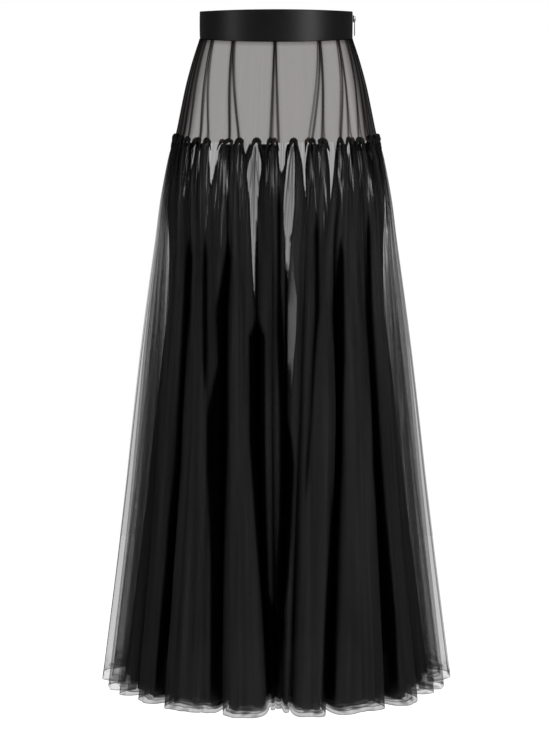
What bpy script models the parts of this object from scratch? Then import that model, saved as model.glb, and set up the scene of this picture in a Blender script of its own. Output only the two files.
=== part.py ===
# Floor-length, high-waisted skirt of sheer black tulle, filled out as when it is worn.
# Metres, +Z up, front towards -Y, the wearer's left at +X.
# The origin is the middle of the waist, at half the depth of the band.

import math

import bpy
import bmesh
from mathutils import Vector

# Gap between sewn pieces, and the wall of one ply of cloth
SEAM_GAP = 0.0003
CLOTH_WALL = 0.0010
BAND_WALL = 0.0020

# The satin band: straight at the sides, a little deeper at the centre front and back
BAND_HALF_WIDTH = 0.1224
BAND_HALF_DEPTH = 0.0945
BAND_HALF_HEIGHT = 0.0222
BAND_EXTRA_AT_CENTRE = 0.0031
BAND_EDGE_ROUND = 0.0005
BAND_COLUMNS = 44

# Heights of the gathered seam at the hip and of each ply's hem
GATHER_Z = -0.1810
HEM_Z = {"outer": -1.0700, "middle": -1.0640, "inner": -1.0600}

# Half-width and half-depth of the garment at each height, from the waist down
ENVELOPE = (
    # height, half width, half depth
    (-0.0220, 0.1228, 0.0948),
    (-0.0550, 0.1338, 0.1014),
    (-0.0930, 0.1444, 0.1090),
    (-0.1310, 0.1527, 0.1150),
    (-0.1700, 0.1609, 0.1202),
    (-0.1820, 0.1650, 0.1232),
    (-0.2150, 0.1741, 0.1330),
    (-0.2790, 0.1867, 0.1470),
    (-0.3440, 0.1952, 0.1580),
    (-0.4420, 0.2089, 0.1720),
    (-0.5400, 0.2220, 0.1850),
    (-0.6400, 0.2342, 0.1975),
    (-0.7400, 0.2458, 0.2095),
    (-0.8400, 0.2583, 0.2215),
    (-0.9420, 0.2717, 0.2340),
    (-1.0700, 0.2888, 0.2500),
)

# Heights at which the angle of each fold is given
FOLD_LEVELS = (GATHER_Z, -0.3500, -0.6200, -1.0700)

# Each gather and the fold that falls from it, as angles round the skirt in degrees.
# 0 is the centre front, 90 the wearer's left, 180 the centre back, 270 the wearer's right.
# Then the fold's depth at the knee and at the hem, and how far the crest of the lobe after it
# lies inside the full outline at the hem, in millimetres.
FOLDS = (
    # gather, hip, knee, hem, knee depth, hem depth, crest drop
    (-86.0, -84.0, -80.5, -79.0, 12, 24, 2),
    (-77.5, -74.0, -68.5, -66.5, 14, 28, 3),
    (-68.1, -62.5, -57.4, -54.5, 16, 32, 2),
    (-58.7, -47.0, -43.0, -41.0, 26, 46, 0),
    (-48.3, -41.0, -36.0, -33.0, 5, 2, 0),
    (-41.7, -34.5, -28.5, -24.5, 9, 4, 1),
    (-26.5, -23.5, -22.5, -19.0, 27, 46, 0),
    (-19.9, -17.5, -14.5, -10.5, 4, 3, 0),
    (-10.7, -9.2, -7.6, -2.0, 24, 42, 14),
    (-2.9, -2.0, -1.6, -0.1, 5, 20, 20),
    (9.7, 5.0, 4.0, 1.8, 24, 42, 8),
    (20.1, 13.9, 9.4, 4.6, 5, 24, 0),
    (25.7, 19.3, 14.2, 10.5, 6, 2, 0),
    (37.7, 28.8, 26.4, 17.4, 26, 48, 0),
    (43.9, 37.5, 34.5, 29.0, 5, 2, 1),
    (52.7, 47.0, 44.6, 40.6, 27, 46, 1),
    (66.7, 62.0, 57.8, 57.5, 16, 30, 4),
    (76.5, 73.0, 68.5, 67.0, 12, 24, 2),
    (86.0, 84.0, 80.5, 79.0, 10, 22, 0),
    (95.0, 96.5, 99.5, 101.0, 12, 24, 2),
    (104.5, 108.0, 113.5, 116.0, 16, 32, 0),
    (114.0, 119.0, 126.5, 131.5, 21, 40, 1),
    (123.0, 127.0, 133.0, 138.0, 5, 3, 0),
    (131.5, 135.0, 140.5, 144.5, 25, 45, 3),
    (141.0, 143.0, 147.5, 151.0, 4, 3, 0),
    (151.5, 153.0, 155.5, 158.5, 24, 44, 0),
    (161.5, 163.0, 164.5, 167.0, 5, 3, 0),
    (170.5, 172.8, 173.8, 175.0, 23, 42, 2),
    (181.0, 181.5, 181.8, 181.0, 5, 4, 0),
    (191.5, 190.3, 189.5, 187.5, 24, 43, 0),
    (201.5, 199.5, 197.0, 194.5, 4, 3, 0),
    (212.0, 209.0, 205.5, 202.5, 26, 45, 2),
    (222.5, 218.5, 213.5, 210.5, 4, 3, 0),
    (232.0, 228.0, 222.0, 217.5, 25, 44, 0),
    (240.5, 236.5, 229.5, 225.5, 5, 3, 1),
    (248.5, 244.5, 237.5, 233.0, 21, 40, 0),
    (257.0, 253.0, 247.5, 244.5, 16, 32, 2),
    (265.0, 263.5, 260.5, 259.0, 12, 24, 0),
)
CREST_DROP_AT_KNEE = 0.3
HIP_DEPTH_SHARE = 0.42
GATHER_DEPTH = 0.0026

# Side seams of every ply: the middle of the lobe that holds each side
LEFT_SEAM_LOBE = 18
RIGHT_SEAM_LOBE = 37

# Where the columns of one lobe stand, from valley to valley, and how full the lobe is
LOBE_COLUMNS = {
    "outer": (0.0, 0.16, 0.38, 0.62, 0.84),
    "middle": (0.0, 0.18, 0.50, 0.82),
    "inner": (0.0, 0.25, 0.75),
}
LOBE_FULLNESS = 0.60
MOST_DEPTH_TO_WIDTH = 0.85
MOST_SIDE_TO_WIDTH = 0.22
MOST_DROP_TO_DEPTH = 0.8
MITRE_LIMIT = 3.5

# The drawn-up knob of cloth at each gather
KNOB_OUT = 0.0045
KNOB_CENTRE = 0.0062
KNOB_REACH = 0.0048
KNOB_HALF_ARC = 0.0058

# How far each ply lies inside the first: at the crests, in the valleys, and at a lobe's sides
PLY_INSET = {
    # ply: (crest at top, crest below, valley at top, valley below, side at top, side below)
    "outer": (0.0, 0.0, 0.0, 0.0, 0.0, 0.0),
    "middle": (0.0014, 0.0160, 0.0014, 0.0110, 0.0004, 0.0036),
    "inner": (0.0031, 0.0370, 0.0031, 0.0220, 0.0010, 0.0068),
}
INSET_FULL_AT = -0.3800

# Heights of the rows, as shares of the way from each ply's top edge to its hem
ROW_SHARES = {
    "outer": (0.0, 0.005, 0.012, 0.030, 0.075, 0.17, 0.36, 0.66, 1.0),
    "middle": (0.0, 0.06, 0.17, 0.36, 0.66, 1.0),
    "inner": (0.0, 0.17, 0.42, 1.0),
}

# The inner plies' top edges dip between the gathers, where only the first ply covers
DIP_PER_GAP = {"outer": 0.0, "middle": 1.15, "inner": 1.25}
DEEPEST_DIP = 0.048
DIP_ROUNDNESS = 0.8
PLY_TOP_DROP = {"outer": SEAM_GAP, "middle": 0.0022, "inner": 0.0040}

# Tucks of the yoke: narrow raised folds that start in pairs under the band and part towards
# the gathers, as the angle of each at the band and at the gathers
TUCKS_FRONT = (
    (-76.5, -70.5), (-71.5, -65.5), (-65.5, -58.7), (-55.6, -47.2), (-53.2, -40.2),
    (-34.5, -26.4), (-32.3, -20.4), (-1.8, -3.3), (0.6, 1.5), (32.6, 19.9), (34.9, 25.9),
    (51.8, 38.2), (54.4, 44.3), (66.0, 52.9), (71.5, 60.5), (76.5, 67.0),
)
TUCKS_BACK = (
    (103.5, 104.5), (108.5, 113.5), (114.5, 122.0), (125.7, 131.5), (128.1, 141.0),
    (145.1, 151.5), (147.5, 161.5), (179.6, 178.9), (182.0, 182.2), (212.2, 201.5),
    (214.6, 207.5), (234.5, 222.5), (236.9, 228.5), (245.5, 240.5), (251.0, 247.5),
    (256.5, 257.0), (260.5, 264.0),
)
TUCK_RISE = 0.0010
TUCK_TOP_HALF = 0.50
TUCK_EDGE = 0.40
YOKE_ROWS = (0.0, 0.30, 0.65, 1.0)
YOKE_PLAIN_STEP = 9.0

# Side zip at the wearer's left, down to the gathers
ZIP_CHAIN_HALF = 0.0020
ZIP_CHAIN_THICK = 0.0016
ZIP_CHAIN_TOP = 0.0205
ZIP_CHAIN_ROWS = 9

SLIDER_HALF_WIDTH = 0.0032
SLIDER_HALF_HEIGHT = 0.0056
SLIDER_THICK = 0.0018
SLIDER_TAPER = 0.72
SLIDER_SHOULDER = 0.70
CROWN_HALF_WIDTH = 0.0008
CROWN_WINDOW_HALF = 0.0033
CROWN_WINDOW_DEEP = 0.0019
CROWN_BAR = 0.0007
CROWN_CORNER = 0.0006
CROWN_SINK = 0.0006

PULL_AXIS_Z = 0.0105
PULL_LENGTH = 0.0270
PULL_THICK = 0.0012
PULL_HALF_WIDTH_TOP = 0.0026
PULL_HALF_WIDTH_END = 0.0042
PULL_CROSSBAR_HALF = 0.0005
PULL_EYE_HALF = 0.0012
PULL_EYE_REACH = 0.0045
PULL_SHOULDER = 0.0008
PULL_NECK_BELOW_EYE = 0.0040
PULL_NECK_SHARE = 0.82
PULL_END_STEPS = 6

# Colours and finish of the pieces, as they look in plain light
FINISHES = {
    # material: (colour, roughness, metallic)
    "satin_band": ((0.022, 0.021, 0.023, 1.0), 0.42, 0.0),
    "sheer_tulle": ((0.060, 0.057, 0.058, 1.0), 0.80, 0.0),
    "gathered_tulle": ((0.018, 0.017, 0.018, 1.0), 0.85, 0.0),
    "zip_tape": ((0.016, 0.016, 0.017, 1.0), 0.55, 0.0),
    "zip_metal": ((0.050, 0.050, 0.053, 1.0), 0.32, 0.9),
}


def mix(low, high, share):
    return low + (high - low) * share


def clamp01(value):
    return max(0.0, min(1.0, value))


def ease(share):
    share = clamp01(share)
    return share * share * (3.0 - 2.0 * share)


def curve_through(places, values, place):
    # A smooth curve through the values, with the slope at each taken from its neighbours
    if places[0] > places[-1]:
        places = [-p for p in places]
        place = -place
    last = len(places) - 1
    if place <= places[0]:
        return values[0]
    if place >= places[last]:
        return values[last]
    index = 0
    while places[index + 1] < place:
        index += 1

    def slope(at):
        before = max(0, at - 1)
        after = min(last, at + 1)
        return (values[after] - values[before]) / (places[after] - places[before])

    span = places[index + 1] - places[index]
    t = (place - places[index]) / span
    start = values[index] * (1.0 + 2.0 * t) * (1.0 - t) ** 2
    end = values[index + 1] * t * t * (3.0 - 2.0 * t)
    leave = slope(index) * span * t * (1.0 - t) ** 2
    arrive = slope(index + 1) * span * t * t * (t - 1.0)
    return start + end + leave + arrive


ENVELOPE_Z = [row[0] for row in ENVELOPE]
ENVELOPE_WIDTH = [row[1] for row in ENVELOPE]
ENVELOPE_DEPTH = [row[2] for row in ENVELOPE]


def half_sizes(height):
    half_width = curve_through(ENVELOPE_Z, ENVELOPE_WIDTH, height)
    half_depth = curve_through(ENVELOPE_Z, ENVELOPE_DEPTH, height)
    return half_width, half_depth


def oval_point(half_width, half_depth, angle, out=0.0):
    # A point of the oval at an angle from the centre front, moved out along its normal
    sine = math.sin(math.radians(angle))
    cosine = math.cos(math.radians(angle))
    normal = Vector((sine / half_width, -cosine / half_depth, 0.0)).normalized()
    return Vector((half_width * sine, -half_depth * cosine, 0.0)) + normal * out


def band_edge(angle):
    return BAND_HALF_HEIGHT + BAND_EXTRA_AT_CENTRE * math.cos(math.radians(angle)) ** 2


def fold_row(index):
    # The fold's row and the whole turns to add, so that the list runs on round the skirt
    turns, place = divmod(index, len(FOLDS))
    return FOLDS[place], 360.0 * turns


def fold_angle(index, height):
    row, turn = fold_row(index)
    return turn + curve_through(FOLD_LEVELS, row[0:4], height)


def fold_depth(index, height):
    row = fold_row(index)[0]
    knee = row[4] / 1000.0
    hem = row[5] / 1000.0
    hip = max(GATHER_DEPTH, knee * HIP_DEPTH_SHARE)
    return curve_through(FOLD_LEVELS, (GATHER_DEPTH, hip, knee, hem), height)


def lobe_width(lobe, height):
    # The distance between two valleys, along the full outline
    half_width, half_depth = half_sizes(height)
    start = fold_angle(lobe, height)
    end = fold_angle(lobe + 1, height)
    middle = math.radians((start + end) / 2.0)
    per_radian = math.hypot(half_width * math.cos(middle), half_depth * math.sin(middle))
    return math.radians(end - start) * per_radian


def valley_depth(index, height):
    # A fold is never much deeper than the wider of its two lobes is wide
    widest = max(lobe_width(index - 1, height), lobe_width(index, height))
    return min(fold_depth(index, height), MOST_DEPTH_TO_WIDTH * widest)


def crest_drop(lobe, height):
    drop = fold_row(lobe)[0][6] / 1000.0
    return curve_through(FOLD_LEVELS, (0.0, 0.0, drop * CREST_DROP_AT_KNEE, drop), height)


def ply_inset(ply, height):
    share = ease((GATHER_Z - height) / (GATHER_Z - INSET_FULL_AT))
    crest_top, crest_low, valley_top, valley_low, side_top, side_low = PLY_INSET[ply]
    crest = mix(crest_top, crest_low, share)
    valley = mix(valley_top, valley_low, share)
    side = mix(side_top, side_low, share)
    return crest, valley, side


def ply_point(ply, lobe, share, height):
    # A point of one ply at a share of the way over a lobe, from valley to valley
    start = fold_angle(lobe, height)
    end = fold_angle(lobe + 1, height)
    half_width, half_depth = half_sizes(height)
    width = lobe_width(lobe, height)
    crest, valley, side = ply_inset(ply, height)
    side = min(side, MOST_SIDE_TO_WIDTH * width)
    if 0.0 < share < 1.0:
        share_in = 0.5 + (share - 0.5) * (1.0 - 2.0 * side / width)
    else:
        share_in = share
    depth = mix(valley_depth(lobe, height), valley_depth(lobe + 1, height), share)
    crest += min(crest_drop(lobe, height), MOST_DROP_TO_DEPTH * depth)
    fullness = math.sin(math.pi * clamp01(share)) ** LOBE_FULLNESS
    inward = (depth + valley) * (1.0 - fullness) + crest * fullness
    if ply == "outer":
        down = GATHER_Z - height
        knob = math.exp(-((down - KNOB_CENTRE) / KNOB_REACH) ** 2)
        across = min(share, 1.0 - share) * width
        inward -= (KNOB_OUT + depth) * knob * math.exp(-(across / KNOB_HALF_ARC) ** 2)
    angle = mix(start, end, share_in)
    point = oval_point(half_width, half_depth, angle, -inward)
    point.z = height
    return point


def top_dip(ply, lobe, share):
    start = fold_angle(lobe, GATHER_Z)
    end = fold_angle(lobe + 1, GATHER_Z)
    half_width, half_depth = half_sizes(GATHER_Z)
    gap = math.radians(end - start) * (half_width + half_depth) / 2.0
    dip = min(DEEPEST_DIP, gap * DIP_PER_GAP[ply])
    return dip * (1.0 - abs(2.0 * share - 1.0)) ** DIP_ROUNDNESS


def wall_from_rows(name, rows, thickness, material, side_ends=False):
    # A closed wall: the given rows of points are its outer face, and its inner face lies
    # one thickness inside them, measured square to each row
    bm = bmesh.new()
    outer = []
    inner = []
    for row in rows:
        outer_row = []
        inner_row = []
        for index, point in enumerate(row):
            before = row[max(0, index - 1)]
            after = row[min(len(row) - 1, index + 1)]
            back = point - before
            ahead = after - point
            first = Vector((back.y, -back.x, 0.0))
            second = Vector((ahead.y, -ahead.x, 0.0))
            if first.length < 1e-9:
                first = second.copy()
            if second.length < 1e-9:
                second = first.copy()
            first.normalize()
            second.normalize()
            normal = (first + second).normalized()
            lean = max(1.0 / MITRE_LIMIT, normal.dot(first))
            if side_ends and index in (0, len(row) - 1):
                # Where two panels meet at the side, both are cut square to the side
                normal = Vector((math.copysign(1.0, point.x), 0.0, 0.0))
                lean = 1.0
            outer_row.append(bm.verts.new(point))
            inner_row.append(bm.verts.new(point - normal * (thickness / lean)))
        outer.append(outer_row)
        inner.append(inner_row)
    last_row = len(rows) - 1
    last_column = len(rows[0]) - 1
    for r in range(last_row):
        for c in range(last_column):
            bm.faces.new((outer[r][c], outer[r + 1][c], outer[r + 1][c + 1], outer[r][c + 1]))
            bm.faces.new((inner[r][c], inner[r][c + 1], inner[r + 1][c + 1], inner[r + 1][c]))
    for c in range(last_column):
        bm.faces.new((outer[0][c], outer[0][c + 1], inner[0][c + 1], inner[0][c]))
        bm.faces.new((outer[last_row][c], inner[last_row][c], inner[last_row][c + 1], outer[last_row][c + 1]))
    for r in range(last_row):
        bm.faces.new((outer[r][0], inner[r][0], inner[r + 1][0], outer[r + 1][0]))
        bm.faces.new((outer[r][last_column], outer[r + 1][last_column],
                      inner[r + 1][last_column], inner[r][last_column]))
    bmesh.ops.triangulate(bm, faces=bm.faces[:])
    return finish_object(name, bm, material, smooth=True)


def finish_object(name, bm, material, smooth=False):
    bmesh.ops.recalc_face_normals(bm, faces=bm.faces[:])
    mesh = bpy.data.meshes.new(name)
    bm.to_mesh(mesh)
    bm.free()
    if smooth:
        mesh.shade_smooth()
        mesh.set_sharp_from_angle(angle=math.radians(50.0))
    mesh.materials.append(material)
    obj = bpy.data.objects.new(name, mesh)
    bpy.context.scene.collection.objects.link(obj)
    return obj


def make_material(name):
    colour, roughness, metallic = FINISHES[name]
    material = bpy.data.materials.new(name)
    material.use_nodes = True
    shader = material.node_tree.nodes["Principled BSDF"]
    shader.inputs["Base Color"].default_value = colour
    shader.inputs["Roughness"].default_value = roughness
    shader.inputs["Metallic"].default_value = metallic
    material.diffuse_color = colour
    return material


def build_waistband(material):
    # A closed loop of eight points, chamfered at its edges, carried round from one side
    # of the zip to the other
    opening = math.degrees((ZIP_CHAIN_HALF + SEAM_GAP) / BAND_HALF_DEPTH)
    start = 90.0 + opening
    end = 450.0 - opening
    bm = bmesh.new()
    rings = []
    for column in range(BAND_COLUMNS + 1):
        angle = mix(start, end, column / BAND_COLUMNS)
        edge = band_edge(angle)
        round_off = BAND_EDGE_ROUND
        loop = (
            (0.0, edge - round_off), (0.0, -edge + round_off),
            (-round_off, -edge), (-BAND_WALL + round_off, -edge),
            (-BAND_WALL, -edge + round_off), (-BAND_WALL, edge - round_off),
            (-BAND_WALL + round_off, edge), (-round_off, edge),
        )
        ring = []
        for out, height in loop:
            point = oval_point(BAND_HALF_WIDTH, BAND_HALF_DEPTH, angle, out)
            point.z = height
            ring.append(bm.verts.new(point))
        rings.append(ring)
    for first, second in zip(rings, rings[1:]):
        for k in range(8):
            after = (k + 1) % 8
            bm.faces.new((first[k], first[after], second[after], second[k]))
    bm.faces.new(rings[0])
    bm.faces.new(list(reversed(rings[-1])))
    bmesh.ops.triangulate(bm, faces=bm.faces[:])
    return finish_object("waistband", bm, material, smooth=True)


def yoke_columns(start, end, tucks):
    # Each column is its angle at the band, its angle at the gathers and its rise there
    columns = [(start, start, 0.0)]
    across = (
        (-TUCK_TOP_HALF - TUCK_EDGE, 0.0), (-TUCK_TOP_HALF, TUCK_RISE),
        (TUCK_TOP_HALF, TUCK_RISE), (TUCK_TOP_HALF + TUCK_EDGE, 0.0),
    )
    for at_band, at_gathers in tucks:
        for aside, rise in across:
            columns.append((at_band + aside, at_gathers + aside, rise))
    columns.append((end, end, 0.0))
    filled = [columns[0]]
    for first, second in zip(columns, columns[1:]):
        plain = first[2] == 0.0 and second[2] == 0.0
        widest = max(second[0] - first[0], second[1] - first[1])
        parts = max(1, round(widest / YOKE_PLAIN_STEP)) if plain else 1
        for k in range(1, parts + 1):
            share = k / parts
            filled.append(tuple(mix(first[i], second[i], share) for i in range(3)))
    return filled


def build_yoke(name, start, end, start_gap, end_gap, tucks, material):
    # The panel runs from one side to the other and stops a fixed distance short of each
    rows = []
    columns = yoke_columns(start, end, tucks)
    for share in YOKE_ROWS:
        row = []
        for index, (at_band, at_gather, rise) in enumerate(columns):
            top = -band_edge(at_band) - SEAM_GAP
            height = mix(top, GATHER_Z, share)
            half_width, half_depth = half_sizes(height)
            angle = mix(at_band, at_gather, share)
            if index == 0:
                angle += math.degrees(math.asin(start_gap / half_depth))
            if index == len(columns) - 1:
                angle -= math.degrees(math.asin(end_gap / half_depth))
            point = oval_point(half_width, half_depth, angle, rise)
            point.z = height
            row.append(point)
        rows.append(row)
    return wall_from_rows(name, rows, CLOTH_WALL, material, side_ends=True)


def ply_columns(ply, first_lobe, last_lobe):
    # From the seam in the middle of one lobe to the seam in the middle of another
    columns = [(first_lobe, 0.5)]
    for lobe in range(first_lobe, last_lobe + 1):
        for share in LOBE_COLUMNS[ply]:
            after_start = lobe > first_lobe or share > 0.5
            before_end = lobe < last_lobe or share < 0.5
            if after_start and before_end:
                columns.append((lobe, share))
    columns.append((last_lobe, 0.5))
    return columns


def build_ply_panel(name, ply, first_lobe, last_lobe, material):
    columns = ply_columns(ply, first_lobe, last_lobe)
    rows = []
    for row_share in ROW_SHARES[ply]:
        row = []
        for lobe, share in columns:
            top = GATHER_Z - PLY_TOP_DROP[ply] - top_dip(ply, lobe, share)
            height = mix(top, HEM_Z[ply], row_share)
            row.append(ply_point(ply, lobe, share, height))
        # Both panels stop half a seam gap short of the line of the side seam
        for index, neighbour in ((0, 1), (len(row) - 1, len(row) - 2)):
            towards = row[neighbour] - row[index]
            towards.z = 0.0
            row[index] = row[index] + towards.normalized() * (SEAM_GAP / 2.0)
        rows.append(row)
    return wall_from_rows(name, rows, CLOTH_WALL, material, side_ends=True)


def build_zip_chain(material):
    # A narrow strip that follows the side of the band and the yoke
    rows = []
    bottom = GATHER_Z + SEAM_GAP
    for index in range(ZIP_CHAIN_ROWS):
        height = mix(ZIP_CHAIN_TOP, bottom, index / (ZIP_CHAIN_ROWS - 1))
        if height > -BAND_HALF_HEIGHT:
            out = BAND_HALF_WIDTH
        else:
            out = half_sizes(height)[0]
        rows.append([Vector((out, side, height)) for side in (-ZIP_CHAIN_HALF, 0.0, ZIP_CHAIN_HALF)])
    return wall_from_rows("zip_chain", rows, ZIP_CHAIN_THICK, material)


def add_prism(bm, outline, near, far):
    # An outline in Y and Z, carried along X from near to far
    first = [bm.verts.new((near, y, z)) for y, z in outline]
    second = [bm.verts.new((far, y, z)) for y, z in outline]
    bm.faces.new(list(reversed(first)))
    bm.faces.new(second)
    for k in range(len(outline)):
        after = (k + 1) % len(outline)
        bm.faces.new((first[k], first[after], second[after], second[k]))


SLIDER_BACK = BAND_HALF_WIDTH + SEAM_GAP
SLIDER_FACE = SLIDER_BACK + SLIDER_THICK
PULL_AXIS_X = SLIDER_FACE + CROWN_WINDOW_DEEP / 2.0


def build_zip_slider(material):
    # The body is a shield outline; the crown is an arch in X and Z that stands on its face
    body = bmesh.new()
    narrow = SLIDER_HALF_WIDTH * SLIDER_TAPER
    shoulder = SLIDER_HALF_HEIGHT * SLIDER_SHOULDER
    outline = [
        (-narrow, PULL_AXIS_Z - SLIDER_HALF_HEIGHT), (narrow, PULL_AXIS_Z - SLIDER_HALF_HEIGHT),
        (SLIDER_HALF_WIDTH, PULL_AXIS_Z), (SLIDER_HALF_WIDTH, PULL_AXIS_Z + shoulder),
        (narrow, PULL_AXIS_Z + SLIDER_HALF_HEIGHT), (-narrow, PULL_AXIS_Z + SLIDER_HALF_HEIGHT),
        (-SLIDER_HALF_WIDTH, PULL_AXIS_Z + shoulder), (-SLIDER_HALF_WIDTH, PULL_AXIS_Z),
    ]
    add_prism(body, outline, SLIDER_BACK, SLIDER_FACE)
    slider = finish_object("zip_slider", body, material)
    crown = bmesh.new()
    inner_x = SLIDER_FACE + CROWN_WINDOW_DEEP
    outer_x = inner_x + CROWN_BAR
    inner_z = CROWN_WINDOW_HALF
    outer_z = CROWN_WINDOW_HALF + CROWN_BAR
    foot_x = SLIDER_FACE - CROWN_SINK
    profile = [
        (foot_x, -outer_z), (outer_x - CROWN_CORNER, -outer_z), (outer_x, -outer_z + CROWN_CORNER),
        (outer_x, outer_z - CROWN_CORNER), (outer_x - CROWN_CORNER, outer_z), (foot_x, outer_z),
        (foot_x, inner_z), (inner_x, inner_z), (inner_x, -inner_z), (foot_x, -inner_z),
    ]
    left = [crown.verts.new((x, -CROWN_HALF_WIDTH, PULL_AXIS_Z + z)) for x, z in profile]
    right = [crown.verts.new((x, CROWN_HALF_WIDTH, PULL_AXIS_Z + z)) for x, z in profile]
    count = len(profile)
    crown.faces.new(left)
    crown.faces.new(list(reversed(right)))
    for k in range(count):
        after = (k + 1) % count
        crown.faces.new((left[k], right[k], right[after], left[after]))
    cutter = finish_object("crown_form", crown, material)
    cutter.hide_render = True
    cutter.display_type = "WIRE"
    join = slider.modifiers.new("crown", "BOOLEAN")
    join.operation = "UNION"
    join.solver = "EXACT"
    join.object = cutter
    return slider


def build_zip_pull(material):
    # A drop-shaped plate with an eye; the bar above the eye passes under the crown
    bar_top = PULL_CROSSBAR_HALF
    eye_top = -PULL_CROSSBAR_HALF
    eye_end = -PULL_EYE_REACH
    end_centre = -PULL_LENGTH + PULL_HALF_WIDTH_END
    wide = PULL_HALF_WIDTH_TOP
    neck = PULL_HALF_WIDTH_TOP * PULL_NECK_SHARE
    neck_z = eye_end - PULL_NECK_BELOW_EYE
    outline = [(neck, bar_top), (-neck, bar_top), (-wide, bar_top - PULL_SHOULDER), (-neck, neck_z)]
    for step in range(PULL_END_STEPS + 1):
        turn = math.pi + math.pi * step / PULL_END_STEPS
        across = PULL_HALF_WIDTH_END * math.cos(turn)
        outline.append((across, end_centre + PULL_HALF_WIDTH_END * math.sin(turn)))
    outline += [(neck, neck_z), (wide, bar_top - PULL_SHOULDER)]
    side = PULL_EYE_HALF
    eye = [(side, eye_top), (-side, eye_top), (-side, eye_end), (side, eye_end)]
    plate = bmesh.new()
    add_prism(plate, outline, -PULL_THICK / 2.0, PULL_THICK / 2.0)
    pull = finish_object("zip_pull", plate, material)
    pull.location = (PULL_AXIS_X, 0.0, PULL_AXIS_Z)
    hole = bmesh.new()
    add_prism(hole, eye, -PULL_THICK, PULL_THICK)
    cutter = finish_object("eye_form", hole, material)
    cutter.location = pull.location
    cutter.hide_render = True
    cutter.display_type = "WIRE"
    cut = pull.modifiers.new("eye", "BOOLEAN")
    cut.operation = "DIFFERENCE"
    cut.solver = "EXACT"
    cut.object = cutter
    return pull


def build_skirt():
    materials = {name: make_material(name) for name in FINISHES}
    build_waistband(materials["satin_band"])
    zip_gap = ZIP_CHAIN_HALF + SEAM_GAP
    sheer = materials["sheer_tulle"]
    build_yoke("yoke_front", -90.0, 90.0, SEAM_GAP / 2.0, zip_gap, TUCKS_FRONT, sheer)
    build_yoke("yoke_back", 90.0, 270.0, zip_gap, SEAM_GAP / 2.0, TUCKS_BACK, sheer)
    front_lobes = (RIGHT_SEAM_LOBE - len(FOLDS), LEFT_SEAM_LOBE)
    back_lobes = (LEFT_SEAM_LOBE, RIGHT_SEAM_LOBE)
    for ply in ("outer", "middle", "inner"):
        build_ply_panel(ply + "_skirt_front", ply, *front_lobes, materials["gathered_tulle"])
        build_ply_panel(ply + "_skirt_back", ply, *back_lobes, materials["gathered_tulle"])
    build_zip_chain(materials["zip_tape"])
    build_zip_slider(materials["zip_metal"])
    build_zip_pull(materials["zip_metal"])


for old in list(bpy.data.objects):
    bpy.data.objects.remove(old, do_unlink=True)

build_skirt()
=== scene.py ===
import math

import bpy
import numpy as np
from mathutils import Matrix, Vector


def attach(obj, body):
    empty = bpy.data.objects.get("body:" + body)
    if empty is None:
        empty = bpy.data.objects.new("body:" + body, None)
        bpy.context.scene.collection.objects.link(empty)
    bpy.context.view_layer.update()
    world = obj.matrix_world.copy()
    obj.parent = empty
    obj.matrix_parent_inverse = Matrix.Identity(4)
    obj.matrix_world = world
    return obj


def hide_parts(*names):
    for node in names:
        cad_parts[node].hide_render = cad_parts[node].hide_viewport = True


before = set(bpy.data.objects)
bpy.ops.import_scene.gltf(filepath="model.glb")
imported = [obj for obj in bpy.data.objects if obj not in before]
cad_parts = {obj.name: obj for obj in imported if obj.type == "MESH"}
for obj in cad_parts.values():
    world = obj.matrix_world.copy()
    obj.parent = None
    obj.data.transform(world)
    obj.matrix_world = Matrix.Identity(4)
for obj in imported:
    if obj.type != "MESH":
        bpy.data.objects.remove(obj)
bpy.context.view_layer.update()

skirtBody = "skirt"
dice = np.random.default_rng(41)
print("frame loaded, the skirt is filled out as when it is worn")

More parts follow.
